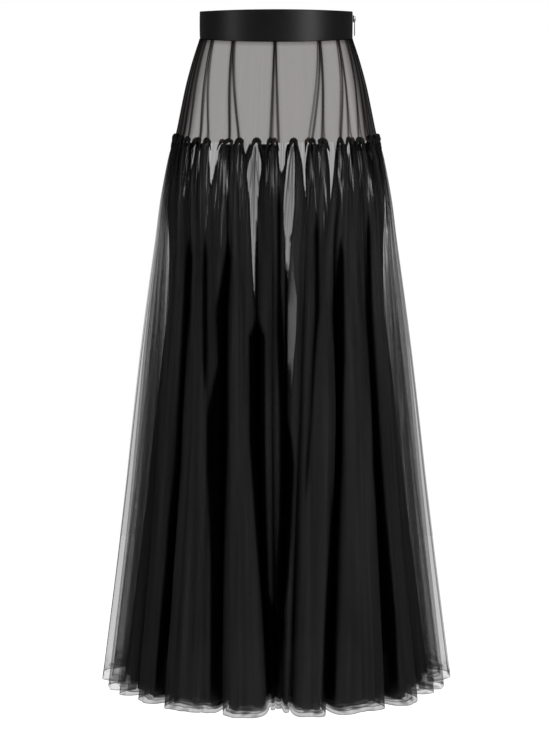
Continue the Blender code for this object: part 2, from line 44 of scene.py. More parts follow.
# The form, in metres: front towards -Y, the wearer's left at +X, origin in the middle of the waist.
# Angles run from the centre front (0) to the wearer's left (90), the centre back (180) and on.
form = {
    "outline": np.array((      # height, half width, half depth
        (-0.0220, 0.1228, 0.0948), (-0.0550, 0.1338, 0.1014), (-0.0930, 0.1444, 0.1090),
        (-0.1310, 0.1527, 0.1150), (-0.1700, 0.1609, 0.1202), (-0.1820, 0.1650, 0.1232),
        (-0.2150, 0.1741, 0.1330), (-0.2790, 0.1867, 0.1470), (-0.3440, 0.1952, 0.1580),
        (-0.4420, 0.2089, 0.1720), (-0.5400, 0.2220, 0.1850), (-0.6400, 0.2342, 0.1975),
        (-0.7400, 0.2458, 0.2095), (-0.8400, 0.2583, 0.2215), (-0.9420, 0.2717, 0.2340),
        (-1.0700, 0.2888, 0.2500),
    )),
    "gather": -0.1810,         # height of the gathered seam, which dips a little round the back
    "backDip": 0.0115,
    "levels": np.array((-0.1810, -0.3500, -0.6200, -1.0700)),
    "folds": np.array((        # angle at the four levels, depth at knee and hem, crest drop, in mm
        (-86.0, -84.0, -80.5, -79.0, 12, 24, 2), (-77.5, -74.0, -68.5, -66.5, 14, 28, 3),
        (-68.1, -62.5, -57.4, -54.5, 16, 32, 2), (-58.7, -47.0, -43.0, -41.0, 26, 46, 0),
        (-48.3, -41.0, -36.0, -33.0, 5, 2, 0), (-41.7, -34.5, -28.5, -24.5, 9, 4, 1),
        (-26.5, -23.5, -22.5, -19.0, 27, 46, 0), (-19.9, -17.5, -14.5, -10.5, 4, 3, 0),
        (-10.7, -9.2, -7.6, -2.0, 24, 42, 14), (-2.9, -2.0, -1.6, -0.1, 5, 20, 20),
        (9.7, 5.0, 4.0, 1.8, 24, 42, 8), (20.1, 13.9, 9.4, 4.6, 5, 24, 0),
        (25.7, 19.3, 14.2, 10.5, 6, 2, 0), (37.7, 28.8, 26.4, 17.4, 26, 48, 0),
        (43.9, 37.5, 34.5, 29.0, 5, 2, 1), (52.7, 47.0, 44.6, 40.6, 27, 46, 1),
        (66.7, 62.0, 57.8, 57.5, 16, 30, 4), (76.5, 73.0, 68.5, 67.0, 12, 24, 2),
        (86.0, 84.0, 80.5, 79.0, 10, 22, 0), (95.0, 96.5, 99.5, 101.0, 12, 24, 2),
        (104.5, 108.0, 113.5, 116.0, 16, 32, 0), (114.0, 119.0, 126.5, 131.5, 21, 40, 1),
        (123.0, 127.0, 133.0, 138.0, 5, 3, 0), (131.5, 135.0, 140.5, 144.5, 25, 45, 3),
        (141.0, 143.0, 147.5, 151.0, 4, 3, 0), (151.5, 153.0, 155.5, 158.5, 24, 44, 0),
        (161.5, 163.0, 164.5, 167.0, 5, 3, 0), (170.5, 172.8, 173.8, 175.0, 23, 42, 2),
        (181.0, 181.5, 181.8, 181.0, 5, 4, 0), (191.5, 190.3, 189.5, 187.5, 24, 43, 0),
        (201.5, 199.5, 197.0, 194.5, 4, 3, 0), (212.0, 209.0, 205.5, 202.5, 26, 45, 2),
        (222.5, 218.5, 213.5, 210.5, 4, 3, 0), (232.0, 228.0, 222.0, 217.5, 25, 44, 0),
        (240.5, 236.5, 229.5, 225.5, 5, 3, 1), (248.5, 244.5, 237.5, 233.0, 21, 40, 0),
        (257.0, 253.0, 247.5, 244.5, 16, 32, 2), (265.0, 263.5, 260.5, 259.0, 12, 24, 0),
    )),
    "leftSeamLobe": 18,        # the lobes whose middles lie on the side seams
    "rightSeamLobe": 37,
    "fullness": 0.60,
    "valleyRound": 0.12,       # how softly a valley turns, 0 for a sharp one
    "valleyFloor": 0.030,      # share of a lobe, at each side, that is the floor of a deep valley
    "fluteRound": 0.012,       # how far a flute's shoulders turn in
    "gatherDepth": 0.0026,
    "deepFrom": 20,            # valleys at least this deep at the hem, in mm, part the flutes
    "deepest": 0.85,           # depth of a valley as a share of the wider lobe beside it
}
foldCount = len(form["folds"])


def curveThrough(places, values, place):
    # smooth curve through values given at falling heights
    p = -np.asarray(places, float)
    v = np.asarray(values, float)
    slope = np.gradient(v)
    slope[1:-1] = (v[2:] - v[:-2]) / (p[2:] - p[:-2])
    slope[0] = (v[1] - v[0]) / (p[1] - p[0])
    slope[-1] = (v[-1] - v[-2]) / (p[-1] - p[-2])
    x = np.clip(-np.asarray(place, float), p[0], p[-1])
    i = np.clip(np.searchsorted(p, x) - 1, 0, len(p) - 2)
    span = p[i + 1] - p[i]
    t = (x - p[i]) / span
    ends = v[i] * (1 + 2 * t) * (1 - t) ** 2 + v[i + 1] * t * t * (3 - 2 * t)
    return ends + span * (slope[i] * t * (1 - t) ** 2 + slope[i + 1] * t * t * (t - 1))


def halfSizes(height):
    heights, halfWidths, halfDepths = form["outline"].T
    return curveThrough(heights, halfWidths, height), curveThrough(heights, halfDepths, height)


def ovalPoint(halfWidth, halfDepth, angle, out):
    s, c = np.sin(np.radians(angle)), np.cos(np.radians(angle))
    nx, ny = s / halfWidth, -c / halfDepth
    size = np.hypot(nx, ny)
    return halfWidth * s + out * nx / size, -halfDepth * c + out * ny / size


def smooth(value):
    t = np.clip(value, 0, 1)
    return t * t * (3 - 2 * t)


def bell(distance, reach):
    return np.exp(-(distance / reach) ** 2)


def metresPerDegree(halfWidth, halfDepth, angle):
    turn = np.radians(angle)
    return np.radians(1.0) * np.hypot(halfWidth * np.cos(turn), halfDepth * np.sin(turn))


def sideways(angle, begin, span):
    # nought at the front and back, one at the sides
    return smooth((np.abs(np.sin(np.radians(angle))) - begin) / span)


def foldProfile(share, floor):
    # nought in the valley, one along most of the lobe
    across = np.clip((share - floor) / (1 - 2 * floor), 0, 1)
    rise = 1 - np.abs(1 - 2 * across) ** 4
    soft = form["valleyRound"] ** 2
    return ((rise + soft) / (1 + soft)) ** form["fullness"]


def seamHeight(angle):
    # the gathered seam at an angle
    turned = np.abs((np.asarray(angle, float) + 180.0) % 360.0 - 180.0)
    return form["gather"] - form["backDip"] * smooth((turned - 95.0) / 50.0)


def fluteTurn(lobe, angle, height):
    # nought in the middle of a flute, one at its deep valleys
    every = np.arange(-2 * foldCount, 3 * foldCount)
    deep = every[form["folds"][every % foldCount][:, 5] >= form["deepFrom"]]
    before = deep[np.searchsorted(deep, lobe, side="right") - 1]
    after = deep[np.searchsorted(deep, lobe + 1, side="left")]
    shares = levelShares(height)
    start, end = foldAngle(before, shares), foldAngle(after, shares)
    return np.clip(np.abs(2 * (angle - start) / (end - start) - 1), 0, 1)


def levelShares(height):
    return [curveThrough(form["levels"], unit, height) for unit in np.eye(4)]


def foldAngle(index, shares):
    rows = form["folds"][index % foldCount]
    return 360.0 * (index // foldCount) + sum(shares[k] * rows[..., k] for k in range(4))


def foldDepth(index, shares):
    rows = form["folds"][index % foldCount]
    knee, hem = rows[..., 4] / 1000, rows[..., 5] / 1000
    top = form["gatherDepth"]
    thigh = np.maximum(top, knee * 0.42)
    return shares[0] * top + shares[1] * thigh + shares[2] * knee + shares[3] * hem


def arcBetween(start, end, halfWidth, halfDepth):
    middle = np.radians((start + end) / 2)
    return np.radians(end - start) * np.hypot(halfWidth * np.cos(middle), halfDepth * np.sin(middle))


def lobeShape(lobe, height):
    # the lobe's two valleys at each height, how wide it is and how deep they are
    shares = levelShares(height)
    halfWidth, halfDepth = halfSizes(height)
    edge = [foldAngle(lobe + k, shares) for k in (-1, 0, 1, 2)]
    width = [arcBetween(edge[k], edge[k + 1], halfWidth, halfDepth) for k in range(3)]
    most = [form["deepest"] * np.maximum(width[k], width[k + 1]) for k in (0, 1)]
    deep = [np.minimum(foldDepth(lobe + k, shares), most[k]) for k in (0, 1)]
    drop = form["folds"][lobe % foldCount][..., 6] / 1000
    drop = drop * (0.3 * shares[2] + shares[3])
    return edge[1], edge[2], width[1], deep[0], deep[1], drop, halfWidth, halfDepth


def meshObject(name, points, faces, material):
    mesh = bpy.data.meshes.new(name)
    mesh.from_pydata(points, [], faces)
    mesh.materials.append(material)
    mesh.shade_smooth()
    piece = bpy.data.objects.new(name, mesh)
    bpy.context.scene.collection.objects.link(piece)
    return piece


def clothSheet(name, grid, uv, density, lit, streak, material, shut=0.004):
    # one ply as a single surface; faces where the cloth is parted are left out
    rows, columns = grid.shape[:2]
    number = np.arange(rows * columns).reshape(rows, columns)
    faces = np.stack((number[:-1, :-1], number[1:, :-1], number[1:, 1:], number[:-1, 1:]), -1).reshape(-1, 4)
    cloth = density.reshape(-1)
    faces = faces[cloth[faces].max(axis=1) > shut]
    used = np.unique(faces)
    renumber = np.full(rows * columns, -1)
    renumber[used] = np.arange(len(used))
    faces = renumber[faces]
    piece = meshObject(name, grid.reshape(-1, 3)[used].tolist(), faces.tolist(), material)
    layer = piece.data.uv_layers.new(name="cloth")
    layer.data.foreach_set("uv", uv.reshape(-1, 2)[used][faces.reshape(-1)].astype(np.float32).reshape(-1))
    for word, values in (("plyCount", density), ("lit", lit), ("streak", streak)):
        layer = piece.data.attributes.new(word, "FLOAT", "POINT")
        values = np.broadcast_to(values, density.shape).reshape(-1)
        layer.data.foreach_set("value", values[used].astype(np.float32))
    return piece


def clothArea(piece):
    return sum(face.area for face in piece.data.polygons)


# Materials
def newMaterial(name, colour, roughness, **others):
    material = bpy.data.materials.new(name)
    material.use_nodes = True
    shader = material.node_tree.nodes["Principled BSDF"]
    shader.inputs["Base Color"].default_value = (*colour, 1)
    shader.inputs["Roughness"].default_value = roughness
    for socket, value in others.items():
        shader.inputs[socket.replace("_", " ")].default_value = value
    return material, material.node_tree, shader


def addNode(tree, kind, **settings):
    node = tree.nodes.new(kind)
    for key, value in settings.items():
        setattr(node, key, value)
    return node


def calc(tree, operation, first, second=None, third=None, clamp=False):
    node = addNode(tree, "ShaderNodeMath", operation=operation, use_clamp=clamp)
    for socket, value in zip(node.inputs, (first, second, third)):
        if isinstance(value, (int, float)):
            socket.default_value = value
        elif value is not None:
            tree.links.new(value, socket)
    return node.outputs[0]


def stretched(tree, source, scale):
    mapping = addNode(tree, "ShaderNodeMapping")
    mapping.inputs["Scale"].default_value = scale
    tree.links.new(source, mapping.inputs["Vector"])
    return mapping.outputs[0]


def noiseOn(tree, source, scale, detail=2.0, roughness=0.5):
    noise = addNode(tree, "ShaderNodeTexNoise")
    noise.inputs["Scale"].default_value = 1.0
    noise.inputs["Detail"].default_value = detail
    noise.inputs["Roughness"].default_value = roughness
    tree.links.new(stretched(tree, source, scale), noise.inputs["Vector"])
    return noise.outputs["Fac"]


def objectPlace(tree):
    return addNode(tree, "ShaderNodeTexCoord").outputs["Object"]


def addBump(tree, shader, height, strength, distance):
    bump = addNode(tree, "ShaderNodeBump")
    bump.inputs["Strength"].default_value = strength
    bump.inputs["Distance"].default_value = distance
    tree.links.new(height, bump.inputs["Height"])
    tree.links.new(bump.outputs[0], shader.inputs["Normal"])


def addTones(tree, shader, source, *ends):
    # the colour goes from one tone to another
    ramp = addNode(tree, "ShaderNodeValToRGB")
    for element, (position, colour) in zip(ramp.color_ramp.elements, ends):
        element.position = position
        element.color = (*colour, 1)
    tree.links.new(source, ramp.inputs["Fac"])
    tree.links.new(ramp.outputs[0], shader.inputs["Base Color"])


tulle = {
    "plyLets": 0.55,           # share of light that one ply lets through, seen square on
    "slant": 0.6,              # how much more cloth a grazing look meets
    "netPerMetre": 760.0,      # cells of the net
    "thread": 1.24, "hole": 0.86,
    "glint": 2.4,              # painted highlight: how much lighter than the cloth its brightest painted streaks are
}


def attribute(tree, name):
    return addNode(tree, "ShaderNodeAttribute", attribute_name=name).outputs["Fac"]


def plusOne(tree, value, times):
    # one and a bit, where the bit is the value's swing about a half
    swing = calc(tree, "MULTIPLY", calc(tree, "SUBTRACT", value, 0.5), times)
    return calc(tree, "MAXIMUM", calc(tree, "ADD", swing, 1.0), 0.06)


# painted light and shade: dark is the tulle's painted shaded colour and bright its painted lit colour
def tulleMaterial(name, dark, bright, streakTimes, fine):
    material, tree, shader = newMaterial(name, bright, 0.85, Specular_IOR_Level=0.0)
    uv = addNode(tree, "ShaderNodeUVMap", uv_map="cloth").outputs[0]
    facing = addNode(tree, "ShaderNodeLayerWeight")
    facing.inputs["Blend"].default_value = 0.5
    slant = calc(tree, "POWER", facing.outputs["Facing"], 4.0)
    path = calc(tree, "ADD", calc(tree, "MULTIPLY", slant, tulle["slant"]), 1.0)
    path = calc(tree, "MULTIPLY", path, attribute(tree, "plyCount"))
    # long soft streaks and fine ones, both along the drop of the cloth
    broad = noiseOn(tree, uv, (150.0, 1.6, 1.0), 2.0)
    thin = noiseOn(tree, uv, (560.0, 4.0, 1.0), 1.0)
    drawn = noiseOn(tree, uv, (58.0, 3.4, 1.0), 3.0, 0.62)    # lines that fan out of the gathers
    strength = calc(tree, "MULTIPLY", attribute(tree, "streak"), streakTimes)
    amount = calc(tree, "MULTIPLY", path, plusOne(tree, broad, strength))
    for lines, times in ((thin, fine), (drawn, 0.8)):
        swing = plusOne(tree, lines, calc(tree, "MULTIPLY", strength, times))
        amount = calc(tree, "MULTIPLY", amount, swing)
    # the net itself: threads round small open cells
    net = addNode(tree, "ShaderNodeTexVoronoi", voronoi_dimensions="2D",
                  feature="DISTANCE_TO_EDGE")
    net.inputs["Scale"].default_value = tulle["netPerMetre"]
    net.inputs["Randomness"].default_value = 0.35
    tree.links.new(uv, net.inputs["Vector"])
    thread = addNode(tree, "ShaderNodeMapRange", interpolation_type="SMOOTHSTEP")
    thread.inputs["From Min"].default_value = 0.04
    thread.inputs["From Max"].default_value = 0.22
    thread.inputs["To Min"].default_value = tulle["thread"]
    thread.inputs["To Max"].default_value = tulle["hole"]
    tree.links.new(net.outputs["Distance"], thread.inputs["Value"])
    amount = calc(tree, "MULTIPLY", amount, thread.outputs["Result"])
    clear = calc(tree, "POWER", tulle["plyLets"], amount)
    tree.links.new(calc(tree, "SUBTRACT", 1.0, clear, clamp=True), shader.inputs["Alpha"])
    # painted light and shade: the base colour goes from near black in the folds' depths to lighter on their
    # crests, by the lit attribute, with painted highlight streaks that grow stronger near the gathers
    shade = addNode(tree, "ShaderNodeMix", data_type="RGBA")
    shade.inputs[6].default_value = (*dark, 1)
    shade.inputs[7].default_value = (*[value * tulle["glint"] for value in bright], 1)
    nearGathers = attribute(tree, "streak")
    broadSwing = calc(tree, "MULTIPLY_ADD", nearGathers, 1.1, 0.75)
    lit = calc(tree, "MULTIPLY", attribute(tree, "lit"), plusOne(tree, broad, broadSwing))
    fineLit = plusOne(tree, drawn, calc(tree, "MULTIPLY", nearGathers, 5.0))
    lit = calc(tree, "MULTIPLY", lit, fineLit)
    lit = calc(tree, "DIVIDE", lit, tulle["glint"], clamp=True)
    tree.links.new(lit, shade.inputs[0])
    tree.links.new(shade.outputs[2], shader.inputs["Base Color"])
    return material


def satinMaterial():
    material, tree, shader = newMaterial(
        "blackSatin", (0.0050, 0.0049, 0.0051), 0.40, Specular_IOR_Level=0.24, Sheen_Weight=0.02
    )
    place = objectPlace(tree)
    rough = calc(tree, "MULTIPLY_ADD", noiseOn(tree, place, (60.0, 60.0, 420.0), 3.0), 0.16, 0.32)
    tree.links.new(rough, shader.inputs["Roughness"])
    addBump(tree, shader, noiseOn(tree, place, (900.0, 900.0, 2600.0), 2.0), 0.12, 0.0003)
    return material


def metalMaterial():
    material, tree, shader = newMaterial("darkZipMetal", (0.05, 0.05, 0.053), 0.30, Metallic=0.9)
    place = objectPlace(tree)
    grain = noiseOn(tree, place, (1500.0, 1500.0, 1500.0), 3.0)
    tree.links.new(calc(tree, "MULTIPLY_ADD", grain, 0.25, 0.18), shader.inputs["Roughness"])
    wear = noiseOn(tree, place, (420.0, 420.0, 420.0), 4.0)
    addTones(tree, shader, wear, (0.45, (0.035, 0.035, 0.037)), (0.75, (0.10, 0.10, 0.105)))
    return material


def tapeMaterial():
    material, tree, shader = newMaterial("zipTapeWeave", (0.014, 0.014, 0.015), 0.62, Sheen_Weight=0.1)
    ribs = addNode(tree, "ShaderNodeTexWave", wave_type="BANDS", bands_direction="Z")
    ribs.inputs["Scale"].default_value = 260.0
    ribs.inputs["Distortion"].default_value = 0.6
    tree.links.new(objectPlace(tree), ribs.inputs["Vector"])
    addBump(tree, shader, ribs.outputs["Fac"], 0.35, 0.0002)
    return material


outerTulle = tulleMaterial("outerTulle", (0.0003, 0.0003, 0.0003), (0.0245, 0.0240, 0.0243), 0.9, 0.8)
underTulle = tulleMaterial("underTulle", (0.0002, 0.0002, 0.0002), (0.0240, 0.0235, 0.0238), 1.5, 0.7)
yokeTulle = tulleMaterial("yokeTulle", (0.0020, 0.0016, 0.0016), (0.0560, 0.0370, 0.0320), 0.25, 1.0)
blackSatin = satinMaterial()
zipMetal = metalMaterial()
zipWeave = tapeMaterial()
print("materials made")

# The three gathered plies
plies = {
    "outer": {
        "hem": -1.0700, "perLobe": 36, "rows": 96, "base": 1.08, "thinAtSides": 0.45,
        "inset": (0.0, 0.0, 0.0, 0.0, 0.0, 0.0),
        "topDrop": 0.0, "material": outerTulle,
    },
    "middle": {
        "hem": -1.0665, "perLobe": 36, "rows": 76, "base": 1.0, "thinAtSides": 0.62,
        "inset": (0.0014, 0.0160, 0.0014, 0.0110, 0.0004, 0.0036),
        "topDrop": 0.0022, "material": underTulle,
    },
    "inner": {
        "hem": -1.0650, "perLobe": 30, "rows": 72, "base": 9.0, "thinAtSides": 0.0,
        "inset": (0.0031, 0.0370, 0.0031, 0.0220, 0.0010, 0.0068),
        "topDrop": 0.0040, "material": underTulle,
    },
}
insetFullAt = -0.4800

# Where the inner plies part below a gather: how far down, and half the width there, in mm
partings = {
    "arch": ((3, 2.4), (15, 5.2), (35, 6.6), (60, 5.6), (90, 3.4), (130, 1.4), (165, 0)),
    "hair": ((6, 0.7), (30, 1.4), (80, 1.3), (120, 0.8), (150, 0)),
}
archScales = {                 # fold, scale
    0: 0.3, 1: 0.4, 2: 0.5, 3: 0.7, 4: 0.7, 5: 0.9, 6: 1.1, 7: 0.8, 9: 0.8, 11: 0.8, 12: 0.9, 13: 0.7,
    14: 0.8, 15: 0.8, 16: 0.5, 17: 0.4, 18: 0.5, 19: 0.4, 20: 0.5, 21: 0.8, 22: 0.7, 23: 0.9, 24: 0.9,
    25: 1.0, 26: 0.9, 27: 0.8, 28: 0.9, 29: 1.0, 30: 0.8, 31: 0.9, 32: 0.9, 33: 0.8, 34: 0.6, 35: 0.6,
    36: 0.4,
}
hairPlaces = (                 # fold, degrees aside, scale
    (1, 0.4, 0.8), (3, -0.5, 0.9), (16, 0.4, 0.8), (19, 0.3, 0.9), (21, -0.4, 1.1), (23, 0.5, 1.0),
    (25, -0.6, 1.2), (26, 0.5, 0.8), (31, 0.5, 1.1), (32, -0.3, 1.2), (33, 0.3, 1.0), (35, 0.3, 0.9),
    (36, -0.3, 0.8),
)
parted = {
    "inner": [(fold, 0, "arch", scale) for fold, scale in archScales.items()],
    "middle": [(fold, aside, "hair", scale) for fold, aside, scale in hairPlaces],
}

# Openings that line up through every ply when the front is faced. Each row is a height, a place across
# and half a width in mm, as they stand on the plane through the waist when seen from the eye.
eye = {"distance": 3.8, "aside": -0.0018}
gapsSeen = (
    ((-173, -133, 5.8), (-192, -131.5, 2.4), (-202, -132, 1.3), (-221, -134.8, 1.1), (-234, -138.1, 0)),
    ((-173, -97.6, 12.2), (-189, -98.4, 10.3), (-202, -100.6, 8.1), (-215, -101.3, 7.4), (-226, -102.6, 4.8),
     (-244, -104.1, 3.2), (-260, -105.2, 0)),
    ((-173, -47.2, 6.4), (-192, -48.2, 4.5), (-202, -49.2, 1.9), (-208, -49.3, 0)),
    ((-173, 12.4, 10.0), (-189, 10.3, 8.1), (-202, 9.5, 6.1), (-224, 9.5, 4.8), (-234, 8.8, 2.6),
     (-240, 8.7, 0)),
    ((-173, 43.3, 10.9), (-192, 43.3, 8.1), (-205, 44, 5.8), (-218, 44.6, 3.5), (-231, 45, 2.1),
     (-256, 46.3, 1.9), (-286, 49.1, 0)),
    ((-173, 89.1, 10.3), (-195, 89.2, 7.7), (-208, 89.3, 6.1), (-221, 89.5, 4.5), (-234, 89.8, 3.5),
     (-250, 89.4, 2.3), (-289, 87.1, 0)),
    ((-173, 116.5, 5.2), (-192, 116.1, 3.5), (-205, 116.7, 1.6), (-213, 116.7, 0)),
    ((-173, 129.4, 3.2), (-189, 129, 1.6), (-195, 128.7, 0)),
    ((-173, 140.7, 3.5), (-190, 138, 1.8), (-198, 137.6, 0)),
)
slitsSeen = (
    ((-183, -34, 2.4), (-189, -34, 4.2), (-202, -32.4, 6.1), (-215, -34, 10.3), (-234, -35.7, 11.9),
     (-253, -36.5, 9.7), (-279, -35.7, 7.4), (-318, -35.8, 5.8), (-357, -35, 5.0), (-396, -34.8, 3.6),
     (-435, -34.3, 1.8), (-455, -34.3, 0)),
    ((-187, 26.4, 1.6), (-202, 25.6, 4.5), (-215, 24, 6.1), (-234, 23.2, 7.6), (-260, 21.6, 8.4),
     (-286, 20.8, 9.2), (-318, 19.7, 7.8), (-337, 19.3, 6.2), (-357, 18.5, 5.2), (-376, 18.5, 3.7),
     (-416, 16.9, 1.8), (-438, 16.1, 0)),
)
streaksSeen = [
    ((-189, -122.6, 1.1), (-208, -124.3, 2.1), (-231, -124.4, 1.8), (-253, -122.4, 0)),
    ((-194, -82.3, 1.1), (-215, -84.5, 2.4), (-273, -84.2, 3.1), (-298, -85.9, 2.6), (-337, -88.9, 2.4),
     (-376, -90, 2.3), (-406, -91.1, 0)),
    ((-210, -80, 1.3), (-240, -80.9, 1.6), (-263, -77.7, 1.5), (-282, -77.8, 0)),
    ((-227, -90.5, 1.5), (-253, -90.6, 1.9), (-286, -93, 1.8), (-331, -95.7, 0)),
    ((-184, -61.4, 1.3), (-202, -61.4, 1.6), (-213, -61.4, 0)),
    ((-197, -9.9, 1.3), (-205, -9.9, 1.5), (-216, -8.2, 0)),
    ((-215, -3.7, 1.1), (-240, -4.2, 1.8), (-266, -3.4, 2.1), (-289, -3.4, 0)),
    ((-190, 68.3, 1.4), (-208, 69.1, 2.1), (-224, 69.6, 1.6), (-253, 69.2, 0)),
    ((-210, 78, 1.3), (-231, 78.9, 1.5), (-247, 78.9, 0)),
    ((-289, 77.4, 1.3), (-318, 77.5, 1.8), (-350, 79.2, 0)),
    ((-240, 106.3, 1.1), (-269, 106.4, 1.8), (-298, 107, 1.3), (-328, 108.3, 0)),
    ((-215, 124, 1.3), (-234, 124.5, 2.4), (-260, 125, 1.9), (-282, 125.9, 0)),
    ((-234, 148.2, 1.5), (-253, 149.3, 2.1), (-273, 150.1, 1.8), (-292, 150.2, 0)),
    ((-203, 163.4, 1.5), (-215, 163.9, 1.8), (-240, 165.6, 0)),
    ((-247, -130.3, 1.1), (-266, -130.1, 1.8), (-292, -129.5, 0)),
    ((-273, -116, 1.1), (-298, -112.6, 1.6), (-324, -113.8, 1.3), (-350, -115.2, 0)),
    ((-187, -136.1, 1.3), (-208, -135.6, 1.9), (-224, -136.3, 1.3), (-244, -139, 0)),
    ((-305, 174.5, 1.5), (-344, 177.4, 2.1), (-380, 180.2, 1.9), (-412, 181.7, 0)),
    ((-600, 206.3, 1.5), (-626, 207.8, 1.6), (-659, 206.4, 0)),
]
hollowsSeen = (               # the black hollows between the flutes, where shade is painted and plies are added
    ((-343, -141, 0), (-373, -141, 5), (-458, -145, 5), (-544, -151, 4), (-630, -157, 4),
     (-716, -161, 5), (-803, -170, 6.5), (-891, -177, 6.5), (-979, -184, 8.5), (-1068, -195, 5),
     (-1148, -201, 5)),
    ((-343, -115, 0), (-373, -115, 3), (-458, -116, 3.5), (-544, -116, 3.5), (-589, -116, 0)),
    ((-343, -78, 0), (-373, -78, 5), (-458, -88, 10), (-544, -87, 8), (-630, -96, 17), (-716, -97, 16.5),
     (-803, -97, 13), (-891, -98, 10), (-979, -100, 8.5), (-1068, -102, 6.5), (-1148, -103, 6.5)),
    ((-471, -31, 0), (-501, -31, 13), (-586, -31, 13), (-673, -31, 13), (-760, -27, 10.5),
     (-847, -23, 8.5), (-935, -18, 6), (-979, -3, 16), (-1068, -3, 9), (-1148, -3, 9)),
    ((-259, 5, 0), (-289, 5, 3), (-416, 5, 3), (-501, 7, 5.5), (-630, 11, 5), (-673, 16, 10),
     (-716, 18, 11.5), (-803, 16, 10), (-891, 11, 10), (-935, 8, 8.5), (-980, 6, 0)),
    ((-301, 66, 0), (-331, 66, 3), (-458, 67, 3.5), (-544, 61, 2.5), (-630, 57, 1.5), (-716, 52, 1.5),
     (-761, 49, 0)),
    ((-343, 105, 0), (-373, 105, 5), (-458, 101, 10), (-544, 104, 8), (-630, 105, 3.5), (-716, 103, 5),
     (-803, 97, 6.5), (-891, 93, 7.5), (-979, 90, 9), (-1068, 88, 10), (-1148, 87, 10)),
    ((-301, 150, 0), (-331, 150, 3), (-458, 151, 5), (-544, 157, 5), (-630, 163, 5.5), (-716, 167, 7.5),
     (-803, 175, 6.5), (-891, 181, 9), (-979, 189, 10), (-1068, 195, 7.5), (-1148, 198, 7.5)),
)
innerSlitsSeen = (
    ((-330, 28.5, 1), (-360, 25.5, 2.5), (-396, 24, 4.5), (-435, 26.5, 7.5), (-499, 25, 7.5), (-524, 24.5, 6),
     (-550, 23.5, 4.5), (-578, 23.5, 3), (-602, 23.5, 0)),
)
strandsSeen = (                # height and place across in mm, and how many plies lie together there
    (((-211, -38.9), (-227, -38.9), (-240, -40.0), (-263, -42.5)), 1.7),
    (((-215, -31.9), (-231, -31.3), (-244, -29.6), (-263, -27.2)), 1.6),
    (((-221, 20.8), (-244, 20.8), (-269, 20.5)), 1.5),
    (((-305, 27.6), (-337, 25.7), (-376, 22.9), (-416, 20.3), (-448, 17.7)), 0.9),
)
gapBetween = {
    "tuftHalf": 0.0060, "depthPerWidth": 1.5, "narrowest": 0.010, "fullWidth": 0.018, "power": 0.52,
}
rim = {"middle": (3.2, 0.0040), "inner": (3.0, 0.0035)}    # plies more round a parting, and how far

# Finer streaks by chance, fanning out with the cloth: start, place across, length, half width and how clear
streakDice = np.random.default_rng(5)
chanceStreaks = 88
streakFan = 1.05
streakStrength = [0.95] * len(streaksSeen)
for k in range(chanceStreaks):
    begin, place = streakDice.uniform(-250, -186), streakDice.uniform(-166, 166)
    length, half = streakDice.uniform(30, 120), streakDice.uniform(1.1, 1.9)
    turn = place * streakFan * length / 1000
    streaksSeen.append(((begin, place, half * 0.6), (begin - length * 0.4, place + turn * 0.4, half),
                        (begin - length, place + turn, half * 0.5)))
    streakStrength.append(streakDice.uniform(0.80, 0.985))

# Small pleats that run down from each gather, and the long soft ripples below them
ripple = {
    "pleatHeight": 0.0011, "pleatFade": 0.085, "ripplePitch": 0.040, "rippleHeight": 0.0015,
    "hemWave": 0.0012, "lift": 0.55,
}
cloth = {
    "rowPower": 1.35, "hemShare": 0.98, "hemRows": 18,     # rows down a ply, closer near the hem
    "sidesFrom": 0.79, "sidesSpan": 0.14,                  # where the sides begin, as a sine
    "knobDown": 0.0062, "knobTall": 0.0048, "knobWide": 0.0050, "knobOut": 0.0012,
    # painted shade: how dark the hollows, sunk valleys and gap edges are painted, and the plies added in the
    # hollows so that they show black
    "hollowEdge": 0.0024, "hollowSoft": 0.0068, "hollowShadePlies": 6.0, "hollowPaintedShade": 0.97,
    "hemHollow": 0.12, "hemFade": 0.034,                   # the painted shade and the added plies of a hollow fade above the hem
    "sunkPaintedShade": 0.016, "gapPaintedShade": 0.55, "gapReach": 0.0016,
}
handful = np.random.default_rng(77)
lobeLook = {
    "pleats": dice.integers(3, 6, foldCount), "pleatTurn": dice.uniform(0, 1, foldCount),
    "turn": dice.uniform(0, 1, (foldCount, 3)), "strength": dice.uniform(0.55, 1.25, (foldCount, 3)),
    "drift": dice.uniform(-0.35, 0.35, (foldCount, 2)),
}


def rippleOut(lobe, share, down, width):
    spot = lobe % foldCount
    edgeFade = np.sin(np.pi * np.clip(share, 0, 1)) ** 0.5
    top = ripple["pleatHeight"] * np.exp(-down / ripple["pleatFade"])
    out = top * np.sin(2 * np.pi * (lobeLook["pleats"][spot] * share + lobeLook["pleatTurn"][spot]))
    hemWidth = width.max(axis=0, keepdims=True)
    count = np.maximum(1.0, np.round(hemWidth / ripple["ripplePitch"]))
    grow = ripple["rippleHeight"] * smooth(down / 0.35) * np.clip(width / 0.030, 0.25, 1.2)
    for k, scale in enumerate((1.0, 1.9)):
        lean = lobeLook["drift"][spot, k] * down
        wave = np.sin(2 * np.pi * (count * scale * share + lobeLook["turn"][spot, k] + lean * 1.6))
        out = out + grow * lobeLook["strength"][spot, k] * wave / (1 + 1.3 * k)
    return out * edgeFade


def seenFromEye(grid):
    nearer = eye["distance"] / (eye["distance"] + grid[..., 1])
    return grid[..., 2] * nearer, (grid[..., 0] - eye["aside"]) * nearer + eye["aside"]


def placesAt(places, up):
    # where a row of seen places starts and ends, and its middle and half width at each height
    rows = np.array(places) / 1000
    middle = np.interp(-up, -rows[:, 0], rows[:, 1])
    half = np.interp(-up, -rows[:, 0], rows[:, 2])
    return rows[0, 0], rows[-1, 0], middle, half


